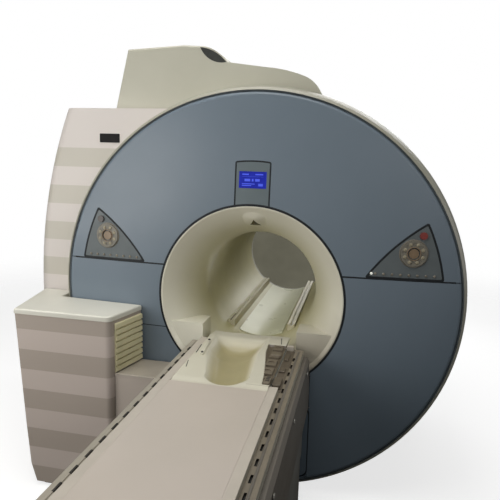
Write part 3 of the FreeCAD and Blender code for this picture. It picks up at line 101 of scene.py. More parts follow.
# Dust and scuffs that gather below a height.
scuff, given, result = effect("floor_scuff", {"Height": 0.3, "Scale": 14.0}, "Mask")
place = object_place(scuff)
level = put(scuff, "ShaderNodeSeparateXYZ", {"Vector": place}).outputs["Z"]
near = put(scuff, "ShaderNodeMapRange", {"Value": level, "From Min": given["Height"], "From Max": 0.0})
patch = put(scuff, "ShaderNodeTexNoise", {"Vector": place, "Scale": given["Scale"], "Detail": 8.0, "Roughness": 0.7})
rough_patch = put(scuff, "ShaderNodeMapRange", {"Value": patch.outputs["Fac"], "From Min": 0.42, "From Max": 0.62})
worn = maths(scuff, "MULTIPLY", near.outputs["Result"], rough_patch.outputs["Result"])
scuff.links.new(worn, result)


def group(tree, effect_tree, **inputs):
    """Place an effect in a material and return its first output."""
    made = tree.nodes.new("ShaderNodeGroup")
    made.node_tree = effect_tree
    for name, value in inputs.items():
        made.inputs[name].default_value = value
    return made.outputs[0]


def blend_colours(tree, mask, first, second):
    """The first colour where the mask is 0 and the second where it is 1, each a colour or a socket."""
    mix = put(tree, "ShaderNodeMix", {"Factor": mask}, data_type="RGBA")
    for socket, value in ((mix.inputs[6], first), (mix.inputs[7], second)):
        if isinstance(value, bpy.types.NodeSocket):
            tree.links.new(value, socket)
        else:
            socket.default_value = value
    return mix.outputs[2]


def clouded(tree, scale, first, second):
    """Two tones in soft clouds."""
    return blend_colours(tree, group(tree, mottle, Scale=scale), shade(first), shade(second))


def blank(name):
    """A new material, with its node tree and the shader in it."""
    material = bpy.data.materials.new(name)
    material.use_nodes = True
    return material, material.node_tree, material.node_tree.nodes["Principled BSDF"]


def finish(name, tone, second, roughness, mottle_scale=3.0, grain_scale=700.0, ripple=40.0, bump=0.15, metallic=0.0,
           coat=0.0, gloss=0.5, dust=None):
    """A material of two close tones in soft clouds, uneven roughness, fine grain, and dust up to a height."""
    material, tree, shader = blank(name)
    clouds = group(tree, mottle, Scale=mottle_scale)
    colour = blend_colours(tree, clouds, shade(tone), shade(second))
    if dust:
        height, dirt = dust
        colour = blend_colours(tree, group(tree, scuff, Height=height), colour, shade(dirt))
    tree.links.new(colour, shader.inputs["Base Color"])
    spread = put(tree, "ShaderNodeMapRange", {
        "Value": clouds, "To Min": roughness - 0.05, "To Max": roughness + 0.06})
    tree.links.new(spread.outputs["Result"], shader.inputs["Roughness"])
    relief = put(tree, "ShaderNodeBump", {
        "Height": group(tree, grain, Scale=grain_scale, Ripple=ripple), "Strength": bump, "Distance": 0.0006})
    tree.links.new(relief.outputs["Normal"], shader.inputs["Normal"])
    shader.inputs["Metallic"].default_value = metallic
    shader.inputs["Specular IOR Level"].default_value = gloss
    shader.inputs["Coat Weight"].default_value = coat
    shader.inputs["Coat Roughness"].default_value = 0.25
    return material


def dress(material, *names):
    """Give CAD nodes a material."""
    for name in names:
        nodes[name].data.materials.clear()
        nodes[name].data.materials.append(material)


dress(finish("vessel_paint", (176, 178, 176), (160, 162, 160), 0.5, grain_scale=250), "magnet_vessel")
dress(finish("cast_resin", (150, 128, 92), (128, 106, 74), 0.35, mottle_scale=12, coat=0.3),
      "gradient_coil", "body_coil")
dress(finish("plate_steel", (120, 122, 124), (96, 98, 100), 0.5, mottle_scale=9, bump=0.3, metallic=0.8),
      "magnet_saddles", "magnet_base_plate", "cover_rings")

# --------------------------------------------------------------------------------------------------
# Front dome: sprayed glass-fibre panels in a satin grey-blue, with a slight orange peel from the gun. They hang on
# the magnet's ring and meet in narrow seams.
dome_paint = finish("dome_paint", (110, 122, 133), (102, 115, 126), 0.44, mottle_scale=1.6, grain_scale=900,
                    ripple=55, bump=0.12, coat=0.08, gloss=0.45)
dress(dome_paint, "upper_front_panel", "lower_right_panel", "lower_left_panel", "middle_left_panel",
      "bay_side_panels", "low_centre_cover")

# --------------------------------------------------------------------------------------------------
# Seam gaskets: black rubber beads pressed into the gaps between the panels, and round the keypads, the display and
# the mouth. Each is an extruded profile, a little proud of the paint.
seal_rubber = finish("seal_rubber", (27, 31, 35), (21, 25, 28), 0.6, mottle_scale=20, gloss=0.35)
dress(seal_rubber, "mouth_seal_ring")
dress(finish("edge_rubber", (84, 91, 95), (76, 83, 87), 0.55, mottle_scale=12, gloss=0.4), "dome_edge_seal")

AXIS = 1.020
DOME_CURVE = 9.3
DOME_LOW = Vector((-0.827, 0.465))
DOME_HIGH = Vector((-0.785, 0.980))


def dome_point(x, z, proud=0.0):
    """The place on the dome's front at (x, z), moved out of it by proud, and the direction out of the dome there."""
    chord = DOME_HIGH - DOME_LOW
    across = Vector((chord.y, -chord.x)).normalized()
    centre = (DOME_LOW + DOME_HIGH) / 2 + across * math.sqrt(DOME_CURVE**2 - chord.length_squared / 4)
    radius = math.hypot(x, z - AXIS)
    slope = math.asin((radius - centre.y) / DOME_CURVE)
    out = Vector((x / radius * math.sin(slope), -math.cos(slope), (z - AXIS) / radius * math.sin(slope)))
    return Vector((x, centre.x - DOME_CURVE * math.cos(slope), z)) + out * proud, out


def add(name, data):
    """Put a mesh, a lamp or a camera into the scene."""
    made = bpy.data.objects.new(name, data)
    bpy.context.scene.collection.objects.link(made)
    return made


def piece(name, vertices, faces, material, slot, body="scanner", smooth=True):
    """A mesh piece that rides on a body, with a material. The slot argument is not used."""
    mesh = bpy.data.meshes.new(name)
    mesh.from_pydata([tuple(v) for v in vertices], [], faces)
    mesh.validate()
    shape = bmesh.new()
    shape.from_mesh(mesh)
    bmesh.ops.remove_doubles(shape, verts=shape.verts, dist=1e-6)
    bmesh.ops.recalc_face_normals(shape, faces=shape.faces)
    shape.to_mesh(mesh)
    shape.free()
    made = add(name, mesh)
    mesh.materials.append(material)
    if smooth:
        mesh.shade_smooth()
    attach(made, body)
    return made


CORNER_CUTS = 3


def rounded(points, closed):
    """Round a line's corners by cutting each in turn, at the scale of the runs beside it."""
    for _ in range(CORNER_CUTS):
        cut = []
        count = len(points)
        for number in range(count if closed else count - 1):
            first = Vector(points[number])
            second = Vector(points[(number + 1) % count])
            cut += [first.lerp(second, 0.25), first.lerp(second, 0.75)]
        if not closed:
            cut = [Vector(points[0])] + cut[1:-1] + [Vector(points[-1])]
        points = cut
    return points


def arc(start, stop, radius, step=0.012):
    """Points along the shorter arc from start to stop, without stop; it turns left for a positive radius."""
    start, stop = Vector(start), Vector(stop)
    chord = stop - start
    if not radius:
        count = max(1, round(chord.length / step))
        return [start.lerp(stop, n / count) for n in range(count)]
    left = Vector((-chord.y, chord.x)).normalized()
    depth = math.sqrt(radius**2 - chord.length_squared / 4)
    centre = (start + stop) / 2 + left * math.copysign(depth, radius)
    turn = 2 * math.asin(chord.length / 2 / abs(radius)) * math.copysign(1, radius)
    count = max(2, round(abs(turn * radius) / step))
    return [centre + Matrix.Rotation(turn * n / count, 2) @ (start - centre) for n in range(count)]


BEAD_STEPS, BEAD_SUNK, BEAD_ROOT = 6, 0.0008, 0.003


def bead(name, line, width, height, closed):
    """A half-round rubber bead along a line of (x, z) points on the dome."""
    vertices, faces = [], []
    count = len(line)
    for number, place in enumerate(line):
        before = line[number - 1] if closed or number else line[0]
        after = line[(number + 1) % count] if closed or number < count - 1 else line[-1]
        on, out = dome_point(place[0], place[1])
        ahead = Vector((after[0] - before[0], 0, after[1] - before[1])).normalized()
        side = ahead.cross(out).normalized()
        for step in range(BEAD_STEPS + 1):
            turn = math.pi * step / BEAD_STEPS
            vertices.append(on + side * math.cos(turn) * width / 2 + out * (math.sin(turn) * height - BEAD_SUNK))
        vertices.append(on - side * width / 2 - out * BEAD_ROOT)
        vertices.append(on + side * width / 2 - out * BEAD_ROOT)
    ring = BEAD_STEPS + 3
    for number in range(count if closed else count - 1):
        first, second = number * ring, (number + 1) % count * ring
        for step in range(ring):
            other = (step + 1) % ring
            faces.append((first + step, first + other, second + other, second + step))
    if not closed:
        faces.append(tuple(range(ring)))
        faces.append(tuple(range((count - 1) * ring, count * ring)))
    piece(name, vertices, faces, seal_rubber, slot="seal_rubber")


SIDES = (("left", -1), ("right", 1))
MOUTH_SEAL, DOME_EDGE = 0.4655, 0.982
SEAM_Z, LOW_SEAM_Z = 1.167, 0.840
KEYPAD_INNER, KEYPAD_OUTER, KEYPAD_APEX = (0.556, 1.174), (0.903, 1.174), (0.818, 1.432)
KEYPAD_BULGE = 0.95
DISPLAY_SIDE, DISPLAY_TOP, DISPLAY_CROWN = 0.084, 1.688, 0.62
LOW_COVER_HALF, LOW_COVER_FOOT, LOW_COVER_TOP, LOW_COVER_CORNER = 0.3195, 0.0855, 0.4885, 0.045
BAY_SIDE, WING_X, WING_FOOT = 0.218, 0.315, 0.490
MOUTH_STEPS, MOUTH_REACH, MOUTH_OUT = 144, 59, 0.0005


def half_chord(radius, away):
    """Half the chord of a circle about the bore's axis, a way from that axis."""
    return math.sqrt(radius**2 - away**2)


for name, sign, height, width, proud in (
        ("left_seam_gasket", -1, SEAM_Z, 0.0105, 0.0013), ("right_seam_gasket", 1, SEAM_Z, 0.0105, 0.0013),
        ("low_left_seam_gasket", -1, LOW_SEAM_Z, 0.0075, 0.001)):
    ends = [(sign * half_chord(radius, height - AXIS), height) for radius in (MOUTH_SEAL, DOME_EDGE)]
    bead(name, arc(*ends, 0), width, proud, closed=False)
for side, sign in SIDES:
    inner, outer, apex = [(sign * x, z) for x, z in (KEYPAD_INNER, KEYPAD_OUTER, KEYPAD_APEX)]
    bulge = sign * KEYPAD_BULGE
    keypad_line = arc(inner, outer, 0) + arc(outer, apex, bulge) + arc(apex, inner, bulge)
    bead(f"{side}_keypad_gasket", rounded(keypad_line, closed=True), 0.0115, 0.0016, closed=True)
display_foot = AXIS + half_chord(MOUTH_SEAL, DISPLAY_SIDE)
right_foot, right_top = (DISPLAY_SIDE, display_foot), (DISPLAY_SIDE, DISPLAY_TOP)
left_foot, left_top = (-DISPLAY_SIDE, display_foot), (-DISPLAY_SIDE, DISPLAY_TOP)
display_line = arc(right_foot, right_top, 0) + arc(right_top, left_top, DISPLAY_CROWN) + arc(left_top, left_foot, 0)
display_line.append(Vector(left_foot))
bead("display_gasket", rounded(display_line, closed=False), 0.0095, 0.0014, closed=False)
corner_x, corner_top, corner_foot = (
    LOW_COVER_HALF - LOW_COVER_CORNER, LOW_COVER_TOP - LOW_COVER_CORNER, LOW_COVER_FOOT + LOW_COVER_CORNER)
low_line = (arc((BAY_SIDE, LOW_COVER_TOP), (corner_x, LOW_COVER_TOP), 0, 0.02)
            + arc((corner_x, LOW_COVER_TOP), (LOW_COVER_HALF, corner_top), -LOW_COVER_CORNER)
            + arc((LOW_COVER_HALF, corner_top), (LOW_COVER_HALF, corner_foot), 0, 0.02)
            + arc((LOW_COVER_HALF, corner_foot), (corner_x, LOW_COVER_FOOT), -LOW_COVER_CORNER))
low_line += [Vector((-x, z)) for x, z in reversed(low_line)]
bead("low_cover_gasket", low_line, 0.0100, 0.001, closed=False)
for side, sign in SIDES:
    wing = arc((sign * WING_X, WING_FOOT), (sign * WING_X, AXIS - half_chord(MOUTH_SEAL, WING_X)), 0, 0.02)
    bead(f"{side}_wing_gasket", wing, 0.0090, 0.001, closed=False)
mouth_turns = [2 * math.pi * n / MOUTH_STEPS for n in range(-MOUTH_REACH, MOUTH_REACH + 1)]
mouth_line = [Vector((math.sin(t), math.cos(t))) * (MOUTH_SEAL + MOUTH_OUT) + Vector((0, AXIS)) for t in mouth_turns]
bead("mouth_gasket", mouth_line, 0.0115, 0.0020, closed=False)

# --------------------------------------------------------------------------------------------------
# Display: a blue liquid-crystal screen behind the dome's skin, over the mouth. It is a clear window with a lit panel
# behind it that shows plain bars and ticks.


def lit(name, strength, glow, base, **plain):
    """A material that gives its own light. Glow and base each list a tone, or two tones and their clouds' scale."""
    material, tree, shader = blank(name)
    for label, (tone, *clouds) in (("Emission Color", glow), ("Base Color", base)):
        if clouds:
            second, scale = clouds
            tree.links.new(clouded(tree, scale, tone, second), shader.inputs[label])
        else:
            shader.inputs[label].default_value = shade(tone)
    shader.inputs["Emission Strength"].default_value = strength
    for label, value in plain.items():
        shader.inputs[label].default_value = value
    return material


screen_blue = lit("screen_blue", 0.85, [(36, 48, 172), (30, 38, 150), 18.0], [(8, 10, 34), (5, 6, 24), 30.0],
                  **{"Specular IOR Level": 0.2, "Roughness": 0.3})
dress(screen_blue, "lcd_screen")
screen_mark = lit("screen_mark", 0.9, [(52, 66, 186), (46, 58, 176), 60.0], [(60, 80, 180)])
dress(finish("display_paint", (101, 112, 116), (93, 104, 108), 0.46, mottle_scale=6, grain_scale=900),
      "display_frame")


MARK_DEPTH, MARK_THICKNESS = 0.0014, 0.0004


def mark_slab(left, right, foot, top):
    """Corners and faces of a thin mark that lies behind the dome's front."""
    vertices = []
    for proud in (-MARK_DEPTH - MARK_THICKNESS, -MARK_DEPTH):
        for x, z in ((left, foot), (right, foot), (right, top), (left, top)):
            vertices.append(dome_point(x, z, proud)[0])
    faces = [(0, 1, 2, 3), (7, 6, 5, 4)] + [(n, (n + 1) % 4, (n + 1) % 4 + 4, n + 4) for n in range(4)]
    return vertices, faces


# Each mark by its sides: left, right, foot and top.
marks = [(-0.052, -0.020, 1.628, 1.634), (0.012, 0.050, 1.628, 1.634), (-0.052, 0.050, 1.620, 1.6208),
         (-0.040, -0.012, 1.598, 1.610), (-0.004, 0.004, 1.598, 1.610), (0.012, 0.034, 1.598, 1.610),
         (-0.052, 0.010, 1.584, 1.588), (-0.052, -0.006, 1.576, 1.580), (0.028, 0.050, 1.576, 1.588)]
mark_vertices, mark_faces = [], []
for mark in marks:
    vertices, faces = mark_slab(*mark)
    mark_faces += [tuple(v + len(mark_vertices) for v in face) for face in faces]
    mark_vertices += vertices
piece("screen_marks", mark_vertices, mark_faces, screen_mark, slot="screen", smooth=False)

# --------------------------------------------------------------------------------------------------
# Keypads: a membrane film on a three-cornered plate on each side, with a ring dial, a push button in its middle, a
# stop button and a row of rubber keys. Their marks are plain shapes.
dress(finish("keypad_film", (95, 102, 104), (86, 93, 95), 0.5, mottle_scale=9, grain_scale=1400, bump=0.2),
      "left_control_panel", "right_control_panel")
dial_grey = finish("dial_grey", (122, 118, 106), (108, 104, 94), 0.45, mottle_scale=25)
dress(dial_grey, "left_ring_dial", "right_ring_dial")
push_tan = finish("push_tan", (132, 112, 88), (116, 96, 74), 0.42, mottle_scale=30)
dress(push_tan, "left_push_button", "right_push_button")
dress(finish("stop_red", (132, 54, 48), (116, 46, 40), 0.35, mottle_scale=30, coat=0.3), "right_stop_button")
dress(finish("stop_dark", (74, 68, 66), (64, 58, 56), 0.4, mottle_scale=30), "left_stop_button")
key_rubber = finish("key_rubber", (126, 120, 108), (112, 106, 95), 0.55, mottle_scale=30)
dial_pad = finish("dial_pad", (150, 142, 120), (134, 126, 106), 0.5, mottle_scale=40)


def frame_at(x, z):
    """A matrix whose Z axis points out of the dome at (x, z), with its X axis level."""
    on, out = dome_point(x, z)
    level = Vector((0, 0, 1)).cross(out).normalized()
    up = out.cross(level)
    return Matrix.Translation(on) @ Matrix((level, up, out)).transposed().to_4x4()


def around(count, shift=0.0):
    """Evenly spaced turns of a full circle, from a share of a step."""
    return [2 * math.pi * (n + shift) / count for n in range(count)]


def turned_shape(profile, steps):
    """Vertices and faces of a profile of (radius, height) turned about Z."""
    vertices = [Vector((r * math.cos(turn), r * math.sin(turn), h)) for turn in around(steps) for r, h in profile]
    faces = []
    count = len(profile)
    for step in range(steps):
        first, second = step * count, (step + 1) % steps * count
        faces += [(first + n, second + n, second + n + 1, first + n + 1) for n in range(count - 1)]
    return vertices, faces


def gather(parts):
    """Join several (matrix, vertices, faces) into one list of each."""
    all_vertices, all_faces = [], []
    for matrix, vertices, faces in parts:
        all_faces += [tuple(v + len(all_vertices) for v in face) for face in faces]
        all_vertices += [matrix @ Vector(v) for v in vertices]
    return all_vertices, all_faces


DIAL_X, DIAL_Z, DIAL_PADS, PAD_CIRCLE, PAD_RISE = 0.76224, 1.294, 8, 0.0435, 0.0072
KEY_ROW_Z, FIRST_KEY_X, KEY_PITCH, KEY_COUNT, KEY_RISE, ROW_LAMP_X = 1.192, 0.596, 0.038, 8, 0.0015, 0.578
cap = [(0, 0.0032), (0.0035, 0.003), (0.0055, 0.0022), (0.0062, 0.0008), (0.0062, -0.001), (0, -0.001)]
pad_shape = [(0, 0.0022), (0.006, 0.002), (0.0082, 0.0008), (0.0086, -0.0015), (0, -0.0015)]
collar = [(0.0284, 0.0046), (0.0284, 0.0086), (0.0294, 0.0094), (0.0310, 0.0094), (0.0322, 0.0086), (0.0322, 0.0046)]
halo = [(0.0605, -0.001), (0.0605, 0.0012), (0.0625, 0.0018), (0.0655, 0.0012), (0.0655, -0.001)]
for side, sign in SIDES:
    keys = [(frame_at(sign * (FIRST_KEY_X + n * KEY_PITCH), KEY_ROW_Z) @ Matrix.Translation((0, 0, KEY_RISE)),
             *turned_shape(cap, 16)) for n in range(KEY_COUNT)]
    piece(f"{side}_row_keys", *gather(keys), key_rubber, slot="dial_grey")
    at = frame_at(sign * DIAL_X, DIAL_Z)
    pads = [(at @ Matrix.Rotation(turn, 4, "Z") @ Matrix.Translation((PAD_CIRCLE, 0, PAD_RISE)),
             *turned_shape(pad_shape, 20)) for turn in around(DIAL_PADS, 0.5)]
    piece(f"{side}_dial_pads", *gather(pads), dial_pad, body=f"{side}_ring_dial_body", slot="dial_grey")
    piece(f"{side}_dial_collar", *gather([(at, *turned_shape(collar, 48))]), push_tan,
          body=f"{side}_ring_dial_body", slot="dial_grey")
    piece(f"{side}_dial_halo", *gather([(at, *turned_shape(halo, 56))]), key_rubber, slot="dial_grey")

# A small white lamp at the inner end of the right-hand row.
lamp_white = lit("lamp_white", 0.4, [(240, 240, 230)], [(235, 235, 225), (220, 220, 210), 90.0])
row_lamp = [(frame_at(ROW_LAMP_X, KEY_ROW_Z), *turned_shape(cap, 16))]
piece("right_row_lamp", *gather(row_lamp), lamp_white, slot="dial_grey")

# --------------------------------------------------------------------------------------------------
# Patient opening: a moulded cream funnel with two arm ledges and a low cowl at its top, where the alignment lamp
# looks out of a dark window. The bore behind it is lined in an olive-cream laminate, with a trough and two rails.

# A block of the object as a mask: Inner and Outer across from the middle, Near and Far along Y, Under and Over in
# height. It lies on both sides where Mirror is 1, and on the right alone where it is 0.
block, given, result = effect("block_mask", {"Inner": -9.0, "Outer": 9.0, "Near": -9.0, "Far": 9.0, "Under": -9.0,
                                             "Over": 9.0, "Soft": 0.001, "Mirror": 1.0}, "Mask")
place = object_place(block)
along = put(block, "ShaderNodeSeparateXYZ", {"Vector": place}).outputs
turned = maths(block, "MULTIPLY", maths(block, "MULTIPLY", along["X"], given["Mirror"]), -1.0)
from_middle = maths(block, "MAXIMUM", along["X"], turned)
mask = None
for value, low, high in (
        (from_middle, "Inner", "Outer"), (along["Y"], "Near", "Far"), (along["Z"], "Under", "Over")):
    for more, less in ((value, given[low]), (given[high], value)):
        ramp = maths(block, "DIVIDE", maths(block, "SUBTRACT", more, less), given["Soft"], use_clamp=True)
        mask = maths(block, "MULTIPLY", mask, ramp) if mask else ramp
block.links.new(mask, result)


TINT_DULL, TINT_CLOUDS = 0.88, 9.0


def tint(material, tone, **limits):
    """Lay a tone, in soft clouds, over a block of a material."""
    tree = material.node_tree
    base = tree.nodes["Principled BSDF"].inputs["Base Color"]
    colour = shade(tone)
    duller = (*(part * TINT_DULL for part in colour[:3]), 1.0)
    clouds = blend_colours(tree, group(tree, mottle, Scale=TINT_CLOUDS), colour, duller)
    tree.links.new(blend_colours(tree, group(tree, block, **limits), base.links[0].from_socket, clouds), base)


# Painted light: the funnel's cream is lighter than the covers' cream, to brighten its walls, which the lamps leave in
# shade.
funnel_cream = finish("funnel_cream", (224, 221, 205), (215, 212, 196), 0.38, mottle_scale=2.5, coat=0.15)
# Deeper in, the cream fades to the bore liner's olive tone; this blends into the liner and also paints the shade
# inside the flare.
tint(funnel_cream, (184, 178, 138), Near=-0.78, Soft=0.26)
# Painted shade: the funnel's lower right, below 1.0 m, is painted darker.
tint(funnel_cream, (172, 165, 149), Inner=0.02, Far=-0.60, Over=1.00, Soft=0.22, Mirror=0.0)
dress(funnel_cream, "front_funnel", "arm_ledges", "table_bay")
dress(finish("bore_lining", (180, 174, 132), (169, 163, 122), 0.42, mottle_scale=3), "bore_liner")
dress(finish("mouth_gloss", (216, 212, 192), (206, 202, 182), 0.16, mottle_scale=5, coat=0.6), "rear_mouth_ring")
dress(finish("trough_cream", (212, 212, 184), (202, 202, 174), 0.3, mottle_scale=4, coat=0.2), "bore_trough")
rail_cream = finish("rail_cream", (204, 198, 172), (192, 186, 160), 0.35, mottle_scale=6, coat=0.1)
tint(rail_cream, (168, 158, 124), Outer=0.152, Under=0.70)
# Painted shade: a dark strip along each rail's near part, for the shade in the groove beside its light top.
tint(rail_cream, (96, 86, 62), Inner=0.170, Outer=0.177, Far=-0.36, Under=0.796, Soft=0.0006)
dress(rail_cream, "bore_rails")

FUNNEL_RING, FUNNEL_ROLL, FUNNEL_BACK = 0.7455, 0.4455, -0.485


def funnel_point(across, y, proud):
    """A place on the funnel's rolled face near its top, across and along Y, moved out of it by proud."""
    radius = FUNNEL_RING - math.sqrt(FUNNEL_ROLL**2 - (y - FUNNEL_BACK) ** 2)
    turn = across / radius
    raised = radius + (radius - FUNNEL_RING) / FUNNEL_ROLL * proud
    depth = y + (y - FUNNEL_BACK) / FUNNEL_ROLL * proud
    return Vector((raised * math.sin(turn), depth, AXIS + raised * math.cos(turn)))


def shell(rows, columns, place):
    """Vertices and faces of a closed skin. place(u, v, face) gives a point, u and v from 0 to 1 and face 0 or 1."""
    width = columns + 1
    sheet = (rows + 1) * width
    vertices = [place(r / rows, c / columns, face) for face in (0, 1) for r in range(rows + 1) for c in range(width)]
    quads = [(r * width + c, r * width + c + 1, (r + 1) * width + c + 1, (r + 1) * width + c)
             for r in range(rows) for c in range(columns)]
    rim = list(range(columns)) + [r * width + columns for r in range(rows)]
    rim += [rows * width + c for c in range(columns, 0, -1)] + [r * width for r in range(rows, 0, -1)]
    faces = quads + [tuple(v + sheet for v in reversed(quad)) for quad in quads]
    faces += [(a, b, b + sheet, a + sheet) for a, b in zip(rim, rim[1:] + rim[:1])]
    return vertices, faces


COWL_MIDDLE, COWL_HALF, COWL_CREST, COWL_HEIGHT = 0.003, 0.080, -0.772, 0.017
COWL_NEAR, COWL_FAR, COWL_RISE, COWL_TAIL, COWL_UNDER, COWL_SUNK = -0.814, -0.662, 0.042, 0.110, 0.004, 0.0006
WINDOW_X, WINDOW_LEFT, WINDOW_WIDTH, WINDOW_NEAR, WINDOW_DEPTH = 0.001, -0.028, 0.058, -0.770, 0.050
WINDOW_UNDER, WINDOW_PROUD = 0.0016, 0.0004


def cowl_height(across, y):
    """How far the lamp's cowl stands out of the funnel: highest at its crest, with a long tail into the bore."""
    side = (across - COWL_MIDDLE) / COWL_HALF
    run = (y - COWL_CREST) / (COWL_RISE if y < COWL_CREST else COWL_TAIL)
    return COWL_HEIGHT * max(0.0, 1 - side**2) ** 2 * max(0.0, 1 - run**2) ** 2


def cowl_place(u, v, face):
    """The cowl's skin, and its underside just inside the funnel."""
    across, y = COWL_MIDDLE + COWL_HALF * (2 * u - 1), COWL_NEAR + (COWL_FAR - COWL_NEAR) * v
    return funnel_point(across, y, -COWL_UNDER if face else cowl_height(across, y) - COWL_SUNK)


def window_place(u, v, face):
    """The window widens from a point at its near end."""
    across, y = WINDOW_X + v * (WINDOW_LEFT + WINDOW_WIDTH * u), WINDOW_NEAR + WINDOW_DEPTH * v
    return funnel_point(across, y, cowl_height(across, y) + (-WINDOW_UNDER if face else WINDOW_PROUD))


lamp_cowl = piece("lamp_cowl", *shell(44, 44, cowl_place), funnel_cream, slot="cream_light")
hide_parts("lamp_housing")
window_dark = finish("window_dark", (74, 66, 46), (60, 53, 36), 0.22, mottle_scale=30, bump=0.02)
piece("lamp_window", *shell(12, 12, window_place), window_dark, slot="grille_dark")

# --------------------------------------------------------------------------------------------------
# Outer covers: cream glass-fibre shells, screwed to the frame round the magnet. The left one has level bands of two
# tones, and the top one a dark air intake.
cover_cream = finish("cover_cream", (206, 204, 190), (198, 196, 182), 0.5, mottle_scale=1.8,
                     dust=(0.25, (170, 164, 150)))
dress(cover_cream, "right_side_cover", "rear_cover")
# Painted shade: the top cover is the covers' cream painted darker, to tone down the light that falls on it from above.
dress(finish("top_cream_painted_shade", (184, 182, 167), (176, 174, 159), 0.5, mottle_scale=2.4), "top_cover")
# Painted shade: the rim cover is the cream painted a darker grey-olive, for the shade that lies on the rim; the dust
# below 0.2 m is its own.
rim_cream_painted_shade = finish("rim_cream_painted_shade", (158, 156, 142), (148, 146, 132), 0.46, mottle_scale=4,
                   dust=(0.2, (126, 120, 108)))
dress(rim_cream_painted_shade, "rim_cover")
grille_dark = finish("grille_dark", (48, 50, 46), (36, 38, 35), 0.6, mottle_scale=25)
dress(grille_dark, "intake_grille")

fastener_grey = finish("fastener_grey", (150, 148, 140), (134, 132, 125), 0.4, mottle_scale=60, metallic=0.3)
screw = turned_shape([(0, 0.0004), (0.0045, 0.0004), (0.0052, 0.0011), (0.0092, 0.0011), (0.0105, 0.0002),
                      (0.0105, -0.002), (0, -0.002)], 20)
COVER_RADIUS, REAR_FACE = 1.046, 0.785
REAR_RINGS = ((0.955, 16), (0.405, 8))
SIDE_ROWS, SIDE_ANGLES = (-0.530, 0.030, 0.130, 0.700), range(-60, 61, 20)
SEAM_HALF, SEAM_IN, SEAM_OUT = 0.003, -0.002, 0.0005
SIDE_SEAM_FOOT, SIDE_SEAM_SWEEP, SIDE_SEAM_Y = -66, 136, 0.080
REAR_SEAMS = ((1.359, 2.024), (0.040, 0.681))


def on_side(turn, y):
    """A matrix whose Z axis points out of the round side cover, at an angle up from level and a depth along Y."""
    out = Matrix.Rotation(math.pi / 2 - turn, 4, "Y")
    return Matrix.Translation((COVER_RADIUS * math.cos(turn), y, AXIS + COVER_RADIUS * math.sin(turn))) @ out


flat = Matrix.Identity(4)
backwards = Matrix.Rotation(-math.pi / 2, 4, "X")
rear_screws = []
for radius, count in REAR_RINGS:
    for turn in around(count, 0.5):
        spot = (radius * math.cos(turn), REAR_FACE, AXIS + radius * math.sin(turn))
        rear_screws.append((Matrix.Translation(spot) @ backwards, *screw))
piece("rear_screws", *gather(rear_screws), fastener_grey, slot="frame_alu")
side_screws = [(on_side(math.radians(angle), y), *screw) for y in SIDE_ROWS for angle in SIDE_ANGLES]
piece("side_screws", *gather(side_screws), fastener_grey, slot="frame_alu")


def side_seam_place(u, v, face):
    """A strip round the side cover at the middle of its depth."""
    turn = math.radians(SIDE_SEAM_FOOT + SIDE_SEAM_SWEEP * u)
    raised = COVER_RADIUS + (SEAM_IN if face else SEAM_OUT)
    return Vector((raised * math.cos(turn), SIDE_SEAM_Y + SEAM_HALF * (2 * v - 1), AXIS + raised * math.sin(turn)))


def rear_seam_place(low, high):
    """A strip down the rear cover, between two heights."""
    def place(u, v, face):
        return Vector((SEAM_HALF * (2 * v - 1), REAR_FACE + (SEAM_IN if face else SEAM_OUT), low + (high - low) * u))
    return place


piece("side_seam", *shell(60, 1, side_seam_place), seal_rubber, slot="seal_rubber")
rear_seams = [(flat, *shell(8, 1, rear_seam_place(*ends))) for ends in REAR_SEAMS]
piece("rear_seams", *gather(rear_seams), seal_rubber, slot="seal_rubber")

# Level bands: 1 where a band of the second tone lies, counted down from a height in steps of a pitch.
bands, given, result = effect("level_bands", {"Top": 1.74, "Pitch": 0.1025}, "Mask")
place = object_place(bands)
level = put(bands, "ShaderNodeSeparateXYZ", {"Vector": place}).outputs["Z"]
below = maths(bands, "SUBTRACT", given["Top"], level)
pairs = maths(bands, "DIVIDE", maths(bands, "DIVIDE", below, given["Pitch"]), 2.0)
dark = maths(bands, "LESS_THAN", maths(bands, "FRACT", pairs), 0.5)
bands.links.new(maths(bands, "MULTIPLY", dark, maths(bands, "GREATER_THAN", below, 0.0)), result)


def banded(name, light, dark, top, pitch):
    """A cream or grey finish with level bands of a darker tone."""
    material = finish(name, light, light, 0.5, mottle_scale=2.2)
    tree = material.node_tree
    base = tree.nodes["Principled BSDF"].inputs["Base Color"]
    mask = group(tree, bands, Top=top, Pitch=pitch)
    tree.links.new(blend_colours(tree, mask, base.links[0].from_socket, shade(dark)), base)
    return material


dress(banded("banded_cream", (208, 201, 196), (190, 185, 174), 1.740, 0.1025), "left_side_cover")

# --------------------------------------------------------------------------------------------------
# Type plate: a plain black plastic plate with rounded corners and a thin bevel round its face. It is cut from
# sheet and glued to the left cover, near that cover's upper edge.
plate_black = finish("plate_black", (14, 11, 12), (9, 7, 8), 0.6, mottle_scale=20, gloss=0.2)
CORNER_STEPS, PLATE_BEVEL = 4, 0.0006


